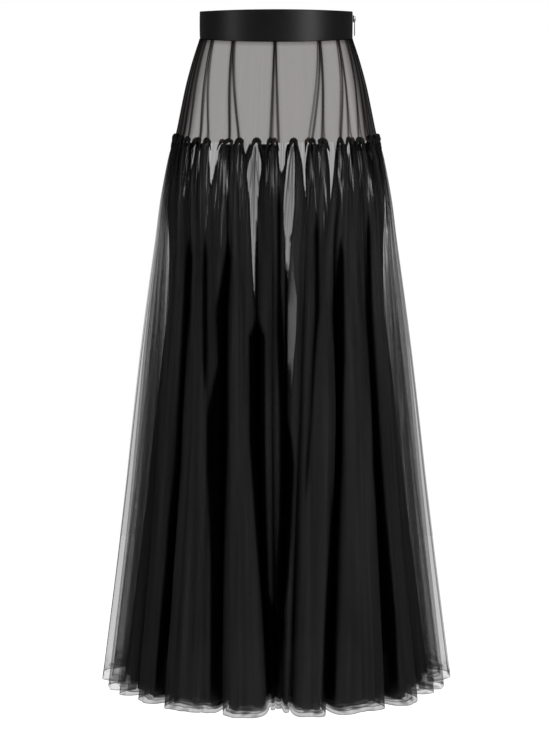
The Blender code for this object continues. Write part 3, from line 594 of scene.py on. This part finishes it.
def awayFromSeen(openings, grid):
    # distance from the nearest opening that lines up through the plies, inside it below nought
    up, across = seenFromEye(grid)
    away = np.full(up.shape, 1.0)
    for places in openings:
        first, last, middle, half = placesAt(places, up)
        beyond = np.maximum(0.0, last - up)
        if first < form["gather"]:
            beyond = np.maximum(beyond, up - first)
        away = np.minimum(away, np.hypot(np.abs(across - middle), beyond) - half * (beyond == 0))
    return away


def streakShare(grid):
    # what is left of the cloth along the light streaks
    up, across = seenFromEye(grid)
    left = np.ones_like(up)
    for places, strength in zip(streaksSeen, streakStrength):
        first, last, middle, half = placesAt(places, up)
        length = first - last
        within = smooth((first - up) / (0.15 * length)) * smooth((up - last) / (0.35 * length))
        left = left * (1 - strength * within * bell(across - middle, half.clip(0.0006, None)))
    return left


def openness(ply, lobe, share, height, down, angle, perDegree, width, grid):
    # distance from the nearest parting or gap, inside it below nought
    top = lobeShape(lobe, np.full((1, len(lobe)), form["gather"]))
    gap = np.maximum(0.0, top[2] / 2 - gapBetween["tuftHalf"])
    gap = gap * sideways(angle, 0.80, 0.12)
    deep = gapBetween["depthPerWidth"] * top[2]
    deep = deep * np.clip((top[2] - gapBetween["narrowest"]) / gapBetween["fullWidth"], 0.05, 1)
    half = gap * (1 - np.clip(down / deep, 0, 1) ** gapBetween["power"])
    aside = np.abs(share - 0.5) * width
    away = np.where(down < deep, aside - half, np.hypot(down - deep, aside))
    away = np.minimum(away, awayFromSeen(gapsSeen + slitsSeen, grid))
    if ply == "inner":
        away = np.minimum(away, awayFromSeen(innerSlitsSeen, grid))
    shares = levelShares(height)
    for index, turned, kind, scale in parted[ply]:
        line = foldAngle(np.array(index), shares) + turned
        offset = (angle - line + 180.0) % 360.0 - 180.0
        rows = np.array(partings[kind]) / 1000 * scale
        half = np.interp(down, rows[:, 0], rows[:, 1])
        below = np.maximum(0.0, np.maximum(rows[0, 0] - down, down - rows[-1, 0]))
        away = np.minimum(away, np.hypot(np.abs(offset) * perDegree, below) - half * (below == 0))
    return away


def strandPlies(ply, height, down, angle, perDegree, grid):
    # fine dark strands that leave the gathers, some listed and some by chance
    shares = levelShares(height)
    lines = []
    for index in range(foldCount):
        for k in range(3 if ply == "outer" else 4):
            reach = handful.uniform(50, 210)
            lean = handful.uniform(-9, 9)
            lines.append((index, ((4, lean * 0.25), (reach * 0.35, lean * 0.8), (reach, lean * 1.15)),
                          handful.uniform(0.6, 2.0)))
    added = np.zeros_like(down)
    for index, places, plyAmount in lines:
        rows = np.array(places) / 1000
        offset = (angle - foldAngle(np.array(index), shares) + 180.0) % 360.0 - 180.0
        away = offset * perDegree - np.interp(down, rows[:, 0], rows[:, 1])
        last = rows[-1, 0]
        along = smooth((down - rows[0, 0]) / 0.006) * (1 - smooth((down - last * 0.55) / (last * 0.45)))
        added = added + plyAmount * along * bell(away, 0.0008)
    if ply == "outer":
        up, across = seenFromEye(grid)
        for places, plyAmount in strandsSeen:
            rows = np.array(places) / 1000
            within = smooth((rows[0, 0] - up) / 0.005) * smooth((up - rows[-1, 0]) / 0.010)
            away = across - np.interp(-up, -rows[:, 0], rows[:, 1])
            added = added + plyAmount * within * (grid[..., 1] < 0) * bell(away, 0.0009)
    return added


def plySheet(name, ply, firstLobe, lastLobe):
    facts = plies[ply]
    lobe, share = [], []
    for k in range(firstLobe, lastLobe + 1):
        steps = np.arange(facts["perLobe"]) / facts["perLobe"]
        low, high = (0.5 if k == firstLobe else 0.0), (0.5 if k == lastLobe else 1.0)
        steps = steps[(steps >= low) & (steps < high)]
        lobe += [k] * len(steps)
        share += list(steps)
    lobe = np.array(lobe + [lastLobe])
    share = np.array(share + [0.5])
    rowShare = np.linspace(0, 1, facts["rows"]) ** cloth["rowPower"] * cloth["hemShare"]
    rowShare = np.concatenate((rowShare[:-1], np.linspace(cloth["hemShare"], 1.0, cloth["hemRows"])))
    atSeam = levelShares(np.array(form["gather"]))
    seamAngle = foldAngle(lobe, atSeam)
    seam = seamHeight(seamAngle + (foldAngle(lobe + 1, atSeam) - seamAngle) * share)
    top = seam - facts["topDrop"]
    halfWidth, halfDepth = halfSizes(np.array(facts["hem"]))
    atHem = levelShares(np.array(facts["hem"]))
    hemAngle = foldAngle(lobe, atHem)
    hemAngle = hemAngle + (foldAngle(lobe + 1, atHem) - hemAngle) * share
    run = np.radians(hemAngle) * (halfWidth + halfDepth) / 2
    hemWave = np.sin(run / 0.021 + 1.0) + 0.6 * np.sin(run / 0.047) + 0.9 * np.sin(run / 0.103 + 2.2)
    back = form["folds"][(lobe[None, :] + np.array((-1, 0, 1))[:, None]) % foldCount][..., 6] / 1000
    crestShare = np.sin(np.pi * share)
    atValleys = (back[0] + back[1]) / 2 * (1 - share) + (back[1] + back[2]) / 2 * share
    lift = back[1] * crestShare + atValleys * (1 - crestShare)
    hemWave = ripple["hemWave"] * hemWave + ripple["lift"] * lift
    height = top[None, :] + (facts["hem"] + hemWave - top)[None, :] * rowShare[:, None]
    start, end, width, deepStart, deepEnd, drop, halfWidth, halfDepth = lobeShape(lobe, height)
    crestTop, crestLow, valleyTop, valleyLow, sideTop, sideLow = facts["inset"]
    eased = smooth((form["gather"] - height) / (form["gather"] - insetFullAt))
    crest = crestTop + (crestLow - crestTop) * eased
    valley = valleyTop + (valleyLow - valleyTop) * eased
    side = np.minimum(sideTop + (sideLow - sideTop) * eased, 0.22 * width)
    shareIn = np.where((share > 0) & (share < 1), 0.5 + (share - 0.5) * (1 - 2 * side / width), share)
    depth = deepStart + (deepEnd - deepStart) * share
    angle = start + (end - start) * shareIn
    atSide = sideways(angle, cloth["sidesFrom"], cloth["sidesSpan"])
    recess = np.minimum(drop, 0.8 * depth)
    crest = crest * (0.60 + 0.40 * np.maximum(atSide, 1 - eased)) + recess
    full = foldProfile(share, form["valleyFloor"] * smooth((depth - 0.008) / 0.020))
    sunk = depth * 1.12 * (1 - full)
    down = seam[None, :] - height
    turn = fluteTurn(lobe, angle, height)
    shoulder = form["fluteRound"] * turn ** 2.6 * smooth(down / 0.5)
    inward = sunk + valley * (1 - full) + crest * full + shoulder
    inward = inward - rippleOut(lobe, share, down, width)
    if ply == "outer":
        across = np.minimum(share, 1 - share) * width
        knob = bell(down - cloth["knobDown"], cloth["knobTall"]) * bell(across, cloth["knobWide"])
        inward = inward - (cloth["knobOut"] + depth) * knob
    x, y = ovalPoint(halfWidth, halfDepth, angle, -inward)
    grid = np.stack((x, y, height), -1)
    hemRun = np.concatenate(([0.0], np.cumsum(np.linalg.norm(np.diff(grid[-1], axis=0), axis=1))))
    uv = np.stack((np.broadcast_to(hemRun, height.shape), height), -1)
    density = np.full(height.shape, facts["base"]) * (1 - facts["thinAtSides"] * atSide)
    perDegree = metresPerDegree(halfWidth, halfDepth, angle)
    if ply != "outer":
        away = openness(ply, lobe, share, height, down, angle, perDegree, width, grid)
        strength, reach = rim[ply]
        density = density + strength * np.exp(-np.maximum(away, 0) / reach)
        density = density * smooth((away + 0.0004) / 0.0014) * streakShare(grid)
        density = density + strandPlies(ply, height, down, angle, perDegree, grid) * (away > -0.0004)
    else:
        density = density + 0.07 * (1 - smooth(awayFromSeen(slitsSeen, grid) / 0.002))
        away = awayFromSeen(gapsSeen + slitsSeen, grid)
        density = density - 0.14 * (1 - smooth(awayFromSeen(gapsSeen, grid) / 0.002))
        density = density + strandPlies(ply, height, down, angle, perDegree, grid)
    # painted shade: the listed hollows are painted black, and the inner ply gets extra plies there that show
    # as black
    fromHollow = awayFromSeen(hollowsSeen, grid) + cloth["hollowEdge"]
    inHollow = (1 - smooth(fromHollow / cloth["hollowSoft"])) * (grid[..., 1] < 0)
    aboveHem = smooth((height - height[-1:] - 0.004) / cloth["hemFade"])
    inHollow = inHollow * (cloth["hemHollow"] + (1 - cloth["hemHollow"]) * aboveHem)
    if ply == "inner":
        density = density + cloth["hollowShadePlies"] * inHollow * (away > 0)
    density = hemSteps(ply, density, run, height)
    # painted light and shade in the lit attribute: darker in sunk valleys, on recessed crests, near the
    # gathers, at flute edges, lower down, in the hollows and round the gaps
    darkAt = cloth["sunkPaintedShade"] * np.clip(0.35 + down / 0.5, 0.35, 1)
    hollow = smooth((sunk / darkAt - 0.35) / 0.65)
    lit = (1 - hollow) * (1 - 0.55 * smooth((recess - 0.003) / 0.010)) * (0.45 + 0.55 * smooth(down / 0.10))
    lit = lit * (1 - 0.28 * turn ** 3 * smooth(down / 0.3)) * (1 - 0.12 * smooth((down - 0.40) / 0.25))
    lit = lit * (1 - cloth["hollowPaintedShade"] * inHollow)
    lit = lit * (1 - cloth["gapPaintedShade"] * bell(np.maximum(away, 0), cloth["gapReach"]))
    streak = 0.30 + 1.7 * np.exp(-down / 0.11)
    piece = clothSheet(name, grid, uv, density, lit, streak, facts["material"])
    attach(piece, skirtBody)
    return piece


def hemSteps(ply, density, run, height):
    # several plies end near the hem, each at its own uneven line, which shows as a fine dark edge
    above = height - height[-1:]
    steps = {"outer": (0.0,), "middle": (0.0, 0.0034), "inner": (0.0, 0.0024, 0.0052, 0.0088)}[ply]
    total = np.zeros_like(height)
    line = np.zeros_like(height)
    for k, step in enumerate(steps):
        wobble = 0.0009 * np.sin(run / (0.013 + 0.003 * k) + k * 2.1)
        wobble = wobble + 0.0012 * np.sin(run / (0.031 - 0.004 * k) + k)
        wobble = wobble + 0.0010 * np.sin(run / 0.0067 + k * 1.3 + 2 * np.sin(run / 0.090))
        edge = step + (wobble * (1 + 0.5 * k) if step else 0.0)
        total = total + smooth((above - edge) / 0.0010 + (0.5 if step else 1.0)) / len(steps)
        line = line + bell(above - edge - 0.0006, 0.0008)
    if ply == "inner":
        total = total ** 1.25
    else:
        # the edge is crumpled, so that the cloth lies double in patches
        crumple = np.sin(run / 0.0052 + 2.5 * np.sin(run / 0.041))
        crumple = crumple * np.sin(above / 0.0030 + 2.2 * np.sin(run / 0.017))
        density = density + 1.5 * np.maximum(crumple, 0) * bell(above - 0.0085, 0.0065)
    if ply == "outer":
        density = density * (1 + 0.30 * (1 - smooth((above - 0.012) / 0.012)))
    return density * total + 1.5 * line * (density > 0.3)


frontLobes = (form["rightSeamLobe"] - foldCount, form["leftSeamLobe"])
backLobes = (form["leftSeamLobe"], form["rightSeamLobe"])
for ply in ("outer", "middle", "inner"):
    for side, lobes in (("Front", frontLobes), ("Back", backLobes)):
        piece = plySheet(ply + "Tulle" + side, ply, *lobes)
        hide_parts(ply + "_skirt_" + side.lower())

# The yoke: single plies from the band to the gathers, with narrow tucks that part on the way
yoke = {
    "columns": 420, "rows": 56, "base": 1.03, "bandHalfHeight": 0.0222, "bandExtra": 0.0031,
    "tucksFront": (            # angle at the band, at the gathers, strength
        (-79.0, -76.5, 0.8), (-75.5, -70.5, 1.0), (-71.0, -65.5, 1.0), (-65.5, -58.7, 0.8),
        (-56.2, -47.2, 1.0), (-55.2, -40.2, 0.45), (-33.9, -26.4, 1.0), (-32.9, -20.4, 0.7),
        (-1.3, -3.3, 0.9), (-0.3, 1.5, 0.55), (33.2, 19.9, 0.8), (34.2, 25.9, 0.9),
        (52.6, 38.2, 0.9), (53.6, 44.3, 0.7), (66.0, 52.9, 0.9), (71.5, 60.5, 0.9), (76.5, 67.0, 1.0),
    ),
    "tucksBack": (
        (103.5, 104.5, 0.8), (108.5, 113.5, 0.8), (114.5, 122.0, 0.6), (126.4, 131.5, 0.6),
        (127.4, 141.0, 0.6), (145.8, 151.5, 0.55), (146.8, 161.5, 0.5), (180.3, 178.9, 0.5),
        (181.3, 182.2, 0.55),
        (212.9, 201.5, 0.5), (213.9, 207.5, 0.55), (235.2, 222.5, 0.6), (236.2, 228.5, 0.6),
        (245.5, 240.5, 0.7), (251.0, 247.5, 0.8), (256.5, 257.0, 0.8), (260.5, 264.0, 0.8),
    ),
    "tuckRise": 0.0009, "tuckHalfTop": 0.0007, "tuckHalfLow": 0.0015,
    "tuckPliesTop": 8.0, "tuckPliesLow": 3.4, "halo": 0.55, "haloReach": 0.0040,
    "sidePlies": ((0.81, 0.05, 0.45), (0.875, 0.05, 1.15), (0.965, 0.02, -0.45)),
}


def bandEdge(angle):
    return yoke["bandHalfHeight"] + yoke["bandExtra"] * np.cos(np.radians(angle)) ** 2


def yokeSheet(name, start, end, startGap, endGap, tucks):
    angle = np.linspace(start, end, yoke["columns"])
    edge = bandEdge(angle)
    share = np.linspace(0, 1, yoke["rows"])[:, None]
    height = -edge + 0.0012 + (seamHeight(angle) + edge - 0.0012) * share
    halfWidth, halfDepth = halfSizes(height)
    along = np.linspace(0, 1, yoke["columns"])
    spare = np.degrees(np.arcsin(startGap / halfDepth)) * (1 - along)
    angle = angle + spare - np.degrees(np.arcsin(endGap / halfDepth)) * along
    perDegree = metresPerDegree(halfWidth, halfDepth, angle)
    out = np.zeros_like(height)
    density = np.full(height.shape, yoke["base"])
    for atBand, atGather, strength in tucks:
        line = atBand + (atGather - atBand) * share
        half = yoke["tuckHalfTop"] + (yoke["tuckHalfLow"] - yoke["tuckHalfTop"]) * smooth(share * 1.6)
        away = np.abs(angle - line) * perDegree
        inside = 1 - smooth((away - half + 0.0004) / 0.0008)
        out = np.maximum(out, yoke["tuckRise"] * strength * (1 - smooth(away / (half * 1.5))))
        thick = yoke["tuckPliesTop"] + (yoke["tuckPliesLow"] - yoke["tuckPliesTop"]) * smooth(share * 2.2)
        edgeLine = 0.55 * bell(away - half, 0.0005)
        density = density + strength * thick * np.maximum(inside * 0.8, edgeLine)
        density = density + yoke["halo"] * strength * bell(away, yoke["haloReach"])
    fromBand = -edge - height
    density = density + 0.5 * (1 - smooth((fromBand - 0.0040) / 0.0012))
    for begin, span, plyAmount in yoke["sidePlies"]:
        density = density + plyAmount * sideways(angle, begin, span)
    sides = sideways(angle, 0.80, 0.2)
    # painted shade: the base colour darkens where plies lie together, along the tucks, beside the band and at
    # the sides
    lit = 1 - 0.93 * np.clip((density - yoke["base"] - 0.15) / 0.9, 0, 1)
    x, y = ovalPoint(halfWidth, halfDepth, angle, out)
    grid = np.stack((x, y, height), -1)
    run = np.cumsum(np.concatenate(([0.0], np.linalg.norm(np.diff(grid[-1], axis=0), axis=1))))
    uv = np.stack((np.broadcast_to(run, height.shape), height), -1)
    piece = clothSheet(name, grid, uv, density, lit, 0.6 + sides * 2.0, yokeTulle)
    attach(piece, skirtBody)
    return piece


zipGap = 0.0023
yokeSheet("yokeTulleFront", -90.0, 90.0, 0.0, zipGap, yoke["tucksFront"])
yokeSheet("yokeTulleBack", 90.0, 270.0, zipGap, 0.0, yoke["tucksBack"])
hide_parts("yoke_front")
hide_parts("yoke_back")

# The satin band: a stiffened strip folded over its top edge
band = {
    "halfWidth": 0.1224, "halfDepth": 0.0945, "wall": 0.0020, "columns": 300,
    "topLine": 0.0062, "crown": 0.00035, "flatShare": 0.94,
}


def buildBand():
    opening = math.degrees(zipGap / band["halfDepth"])
    angles = np.linspace(90.0 + opening, 450.0 - opening, band["columns"])
    wall = band["wall"]
    # each point is a height as a share of the half height, and how far out it lies
    flat = band["flatShare"]
    crown = band["crown"]
    outer = [(share, crown * (1 - share ** 2) - crown) for share in np.linspace(-flat, flat, 30)][::-1]
    rounded = [(-0.975, -0.0003), (-0.995, -0.0007), (-1.0, -wall / 2)]
    rounded += [(-0.995, -wall + 0.0007), (-0.975, -wall + 0.0003)]
    inner = [(share, -wall) for share in np.linspace(-flat, flat, 14)]
    over = [(-share, out) for share, out in rounded][::-1]
    ring = outer + rounded + inner + over
    points = []
    for angle in angles:
        edge = bandEdge(angle)
        for share, out in ring:
            height = share * edge
            fromTop = edge - height
            if out > -0.0009:
                out = out - 0.00022 * math.exp(-((fromTop - band["topLine"]) / 0.0006) ** 2)
                out = out - 0.00028 * math.exp(-((edge + height - 0.0030) / 0.0005) ** 2)
            x, y = ovalPoint(band["halfWidth"], band["halfDepth"], angle, out)
            points.append((float(x), float(y), float(height)))
    count = len(ring)
    faces = []
    for a in range(len(angles) - 1):
        for k in range(count):
            here, after = a * count + k, a * count + (k + 1) % count
            faces.append((here, after, after + count, here + count))
    last = (len(angles) - 1) * count
    faces.append(tuple(range(count))[::-1])
    faces.append(tuple(last + k for k in range(count)))
    piece = meshObject("satinBand", points, faces, blackSatin)
    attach(piece, skirtBody)
    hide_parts("waistband")
    return piece


satinBand = buildBand()
print("band", round(clothArea(satinBand) / 2, 4), "square metres a layer")


# Gather knobs: the tightly drawn cloth at each gather, an arch with two legs
def clearSelection():
    if bpy.context.object and bpy.context.object.mode != "OBJECT":
        bpy.ops.object.mode_set(mode="OBJECT")
    bpy.ops.object.select_all(action="DESELECT")


def joinCopies(made, name):
    clearSelection()
    for copy in made:
        copy.select_set(True)
    bpy.context.view_layer.objects.active = made[0]
    bpy.ops.object.join()
    piece = bpy.context.object
    piece.name = name
    clearSelection()
    return piece


knobFacts = {
    "halfSpan": 0.0034, "tube": 0.0031, "legSteps": 6, "legLength": 0.015, "legSpread": 0.0042,
    "legEnd": 0.18, "ribs": 11, "ribDepth": 0.24, "lean": 15.0,
    "widths": {1: 13, 2: 14, 3: 13, 4: 12, 5: 12.5, 6: 14, 7: 11.5, 8: 15.5, 9: 12, 10: 12.5, 11: 11,
               12: 13.5, 13: 10.5, 14: 12, 15: 15, 16: 15, 17: 13},
}


def baseKnob():
    clearSelection()
    bpy.ops.mesh.primitive_torus_add(
        major_segments=36, minor_segments=12, major_radius=knobFacts["halfSpan"],
        minor_radius=knobFacts["tube"], rotation=(math.radians(90), 0, 0),
    )
    knob = bpy.context.object
    knob.name = "gatherKnob"
    bpy.ops.object.transform_apply(rotation=True)
    bpy.ops.object.mode_set(mode="EDIT")
    bpy.ops.mesh.select_all(action="SELECT")
    bpy.ops.mesh.bisect(plane_co=(0, 0, 0), plane_no=(0, 0, 1), clear_inner=True)
    bpy.ops.mesh.select_all(action="DESELECT")
    bpy.ops.object.mode_set(mode="OBJECT")
    bpy.context.tool_settings.mesh_select_mode = (False, True, False)
    steps = knobFacts["legSteps"]
    step = knobFacts["legLength"] / steps
    for side in (-1, 1):
        for edge in knob.data.edges:
            ends = [knob.data.vertices[v].co for v in edge.vertices]
            edge.select = all(abs(end.z) < 1e-6 and end.x * side > 0 for end in ends)
        for leg in range(steps):
            bpy.ops.object.mode_set(mode="EDIT")
            aside = side * knobFacts["legSpread"] / steps * (1.5 - leg / steps)
            bpy.ops.mesh.extrude_region_move(TRANSFORM_OT_translate={"value": (aside, 0, -step)})
            bpy.ops.object.mode_set(mode="OBJECT")
            chosen = [v for v in knob.data.vertices if v.select]
            middle = sum((v.co for v in chosen), Vector()) / len(chosen)
            ratio = knobFacts["legEnd"] ** (1 / steps)
            for v in chosen:
                v.co = middle + (v.co - middle) * ratio
        bpy.ops.object.mode_set(mode="EDIT")
        bpy.ops.mesh.edge_face_add()
        bpy.ops.mesh.select_all(action="DESELECT")
        bpy.ops.object.mode_set(mode="OBJECT")
    bpy.context.tool_settings.mesh_select_mode = (True, False, False)
    clearSelection()
    return knob


def shapeKnob(mesh, turn, seed):
    # scrunched ribs round the arch, uneven from one gather to the next
    noise = np.random.default_rng(seed)
    lumps = noise.uniform(-1, 1, 8)
    flat = knobFacts["halfSpan"]
    for v in mesh.vertices:
        along = math.atan2(v.co.x, v.co.z) if v.co.z > -0.004 else math.copysign(2.4, v.co.x)
        core = Vector((v.co.x, 0, v.co.z))
        if v.co.z > 0:
            core = Vector((flat * math.sin(along), 0, flat * math.cos(along)))
        away = v.co - core
        fade = max(0.0, min(1.0, 1.0 + v.co.z / 0.012))
        rib = math.sin(along * knobFacts["ribs"] + turn * 6.0 + v.co.y * 900.0)
        lump = sum(lumps[k] * math.sin(along * (k + 1) * 1.1 + k) for k in range(4)) * 0.12
        v.co = core + away * (1 + (knobFacts["ribDepth"] * rib + lump) * fade)
        if v.co.z <= 0:
            v.co.y += 0.0006 * math.sin(v.co.z * 420 + turn * 5)


def placeKnobs(name, indices):
    source = baseKnob()
    made = []
    for index in indices:
        row = form["folds"][index % foldCount]
        seed = 300 + index % foldCount
        chance = np.random.default_rng(seed)
        mesh = source.data.copy()
        shapeKnob(mesh, float(chance.uniform(0, 1)), seed)
        span = 2000 * (knobFacts["halfSpan"] + knobFacts["tube"])
        wide = knobFacts["widths"].get(index, chance.uniform(10.5, 15.0)) / span
        tall, tilt = chance.uniform(0.85, 1.2), chance.uniform(-8, 8)
        seam = float(seamHeight(row[0]))
        halfWidth, halfDepth = halfSizes(np.array(seam))
        x, y = ovalPoint(float(halfWidth), float(halfDepth), row[0], 0.0004)
        aim = math.radians(row[0])
        normal = Vector((math.sin(aim) / halfWidth, -math.cos(aim) / halfDepth, 0)).normalized()
        facing = math.atan2(normal.x, -normal.y)
        centre = seam - knobFacts["halfSpan"] + 0.0042
        place = Matrix.Translation((float(x), float(y), centre))
        turn = Matrix.Rotation(facing, 4, "Z") @ Matrix.Rotation(math.radians(-knobFacts["lean"]), 4, "X")
        turn = turn @ Matrix.Rotation(math.radians(tilt), 4, "Y")
        mesh.transform(place @ turn @ Matrix.Diagonal((wide, 0.85, tall, 1)))
        mesh.materials.clear()
        mesh.materials.append(knobTulle)
        mesh.shade_smooth()
        knob = bpy.data.objects.new(name, mesh)
        bpy.context.scene.collection.objects.link(knob)
        made.append(knob)
    bpy.data.objects.remove(source)
    piece = joinCopies(made, name)
    piece.data.name = name
    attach(piece, skirtBody)
    return piece


def knobMaterial():
    material, tree, shader = newMaterial("drawnTulle", (0.006, 0.006, 0.006), 0.8, Specular_IOR_Level=0.12)
    ridges = noiseOn(tree, objectPlace(tree), (900.0, 900.0, 500.0), 4.0, 0.65)
    addBump(tree, shader, ridges, 0.8, 0.0006)
    # painted shade and highlight: the colour follows the ridge bumps, near black in their creases and lighter
    # on their tops
    addTones(tree, shader, ridges, (0.40, (0.0006, 0.0006, 0.0006)), (0.72, (0.020, 0.0195, 0.0195)))
    return material


knobTulle = knobMaterial()
knobsFront = placeKnobs("gatherKnobsFront", range(0, 19))
knobsBack = placeKnobs("gatherKnobsBack", range(19, foldCount))
print("gather knobs placed", foldCount)

# The side zip: woven tape behind the opening, two rows of teeth, and the metal slider and pull
zipFacts = {"tapeHalf": 0.0105, "top": 0.0205, "toothPitch": 0.0016, "toothSize": (0.00085, 0.0017, 0.00085)}


def zipSizes(height):
    # how far out the zip lies, and the half depth of the skirt beside it
    if height > -yoke["bandHalfHeight"]:
        return band["halfWidth"], band["halfDepth"]
    halfWidth, halfDepth = halfSizes(np.array(height))
    return float(halfWidth), float(halfDepth)


def buildZipTape():
    heights = np.linspace(zipFacts["top"], form["gather"] + 0.0010, 70)
    across = np.linspace(-zipFacts["tapeHalf"], zipFacts["tapeHalf"], 13)
    points, faces = [], []
    for height in heights:
        out, halfDepth = zipSizes(height)
        behind = 0.0024 if height > -yoke["bandHalfHeight"] - 0.001 else 0.0011
        for side in across:
            curve = out * (1 - math.sqrt(max(0.0, 1 - (side / halfDepth) ** 2)))
            points.append((out - curve - behind, side, float(height)))
    columns = len(across)
    for r in range(len(heights) - 1):
        for c in range(columns - 1):
            first = r * columns + c
            faces.append((first, first + columns, first + columns + 1, first + 1))
    piece = meshObject("zipTape", points, faces, zipWeave)
    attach(piece, skirtBody)
    return piece


def buildZipTeeth():
    clearSelection()
    bpy.ops.mesh.primitive_cube_add(size=1)
    tooth = bpy.context.object
    tooth.dimensions = zipFacts["toothSize"]
    bpy.ops.object.transform_apply(scale=True)
    soften = tooth.modifiers.new("soften", "BEVEL")
    soften.width = 0.0002
    soften.segments = 1
    bpy.ops.object.modifier_apply(modifier=soften.name)
    made = []
    height = zipFacts["top"] - 0.001
    row = 0
    while height > form["gather"] + 0.002:
        mesh = tooth.data.copy()
        side = 0.00055 if row % 2 else -0.00055
        mesh.transform(Matrix.Translation((zipSizes(height)[0] - 0.0004, side, height)))
        copy = bpy.data.objects.new("zipTooth", mesh)
        bpy.context.scene.collection.objects.link(copy)
        made.append(copy)
        height -= zipFacts["toothPitch"] / 2
        row += 1
    bpy.data.objects.remove(tooth)
    piece = joinCopies(made, "zipTeeth")
    piece.data.materials.clear()
    piece.data.materials.append(zipWeave)
    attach(piece, skirtBody)
    return piece


zipTape = buildZipTape()
zipTeeth = buildZipTeeth()
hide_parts("zip_chain")
for node in ("zip_slider", "zip_pull"):
    part = bpy.data.objects[node]
    part.data.materials.clear()
    part.data.materials.append(zipMetal)
print("zip built")

# Floor, light and camera
studio = {
    "floor": -1.46, "rightBox": 41.0, "leftBox": -56.0, "boxDistance": 3.1, "rightPower": 52.0,
    "leftPower": 20.0, "topPower": 72.0, "around": 0.06, "seen": 1.0, "floorReach": 2.9,
}


def buildFloor():
    clearSelection()
    bpy.ops.mesh.primitive_circle_add(
        vertices=64, radius=studio["floorReach"], fill_type="NGON", location=(0, 0, studio["floor"]),
    )
    floor = bpy.context.object
    floor.name = "paleFloor"
    material, tree, shader = newMaterial("palePaper", (0.90, 0.90, 0.90), 0.9)
    shader.inputs["Emission Color"].default_value = (1, 1, 1, 1)
    shader.inputs["Emission Strength"].default_value = 0.86
    floor.data.materials.append(material)


def softBox(name, place, aim, size, power):
    light = bpy.data.lights.new(name, "AREA")
    light.shape = "RECTANGLE"
    light.size, light.size_y = size
    light.energy = power
    lamp = bpy.data.objects.new(name, light)
    lamp.location = place
    lamp.rotation_euler = (Vector(aim) - Vector(place)).to_track_quat("-Z", "Y").to_euler()
    lamp.visible_camera = False
    bpy.context.scene.collection.objects.link(lamp)


def around(degrees, distance, height):
    turn = math.radians(degrees)
    return distance * math.sin(turn), -distance * math.cos(turn), height


buildFloor()
for side, wide in (("right", 1.0), ("left", 0.55)):
    place = around(studio[side + "Box"], studio["boxDistance"], 0.1)
    softBox(side + "SoftBox", place, (0, 0, -0.2), (wide, 2.4), studio[side + "Power"])
softBox("topSoftBox", (0, -0.8, 3.2), (0, 0, -0.6), (3.2, 3.2), studio["topPower"])

world = bpy.data.worlds.new("paleRoom")
bpy.context.scene.world = world
world.use_nodes = True
tree = world.node_tree
back = tree.nodes["Background"]
back.inputs["Color"].default_value = (1, 1, 1, 1)
looking = addNode(tree, "ShaderNodeLightPath").outputs["Is Camera Ray"]
strength = addNode(tree, "ShaderNodeMapRange")
strength.inputs["To Min"].default_value = studio["around"]
strength.inputs["To Max"].default_value = studio["seen"]
tree.links.new(looking, strength.inputs["Value"])
tree.links.new(strength.outputs["Result"], back.inputs["Strength"])

camera = bpy.data.cameras.new("camera")
camera.lens = 115.5
camera.sensor_width = 36.0
cameraObject = bpy.data.objects.new("camera", camera)
cameraObject.location = (eye["aside"], -eye["distance"], 0)
cameraObject.rotation_euler = (math.radians(81.75), 0, 0)
bpy.context.scene.collection.objects.link(cameraObject)
bpy.context.scene.camera = cameraObject
bpy.context.scene.view_settings.view_transform = "Standard"
bpy.context.scene.cycles.transparent_max_bounces = 32
print("studio set")
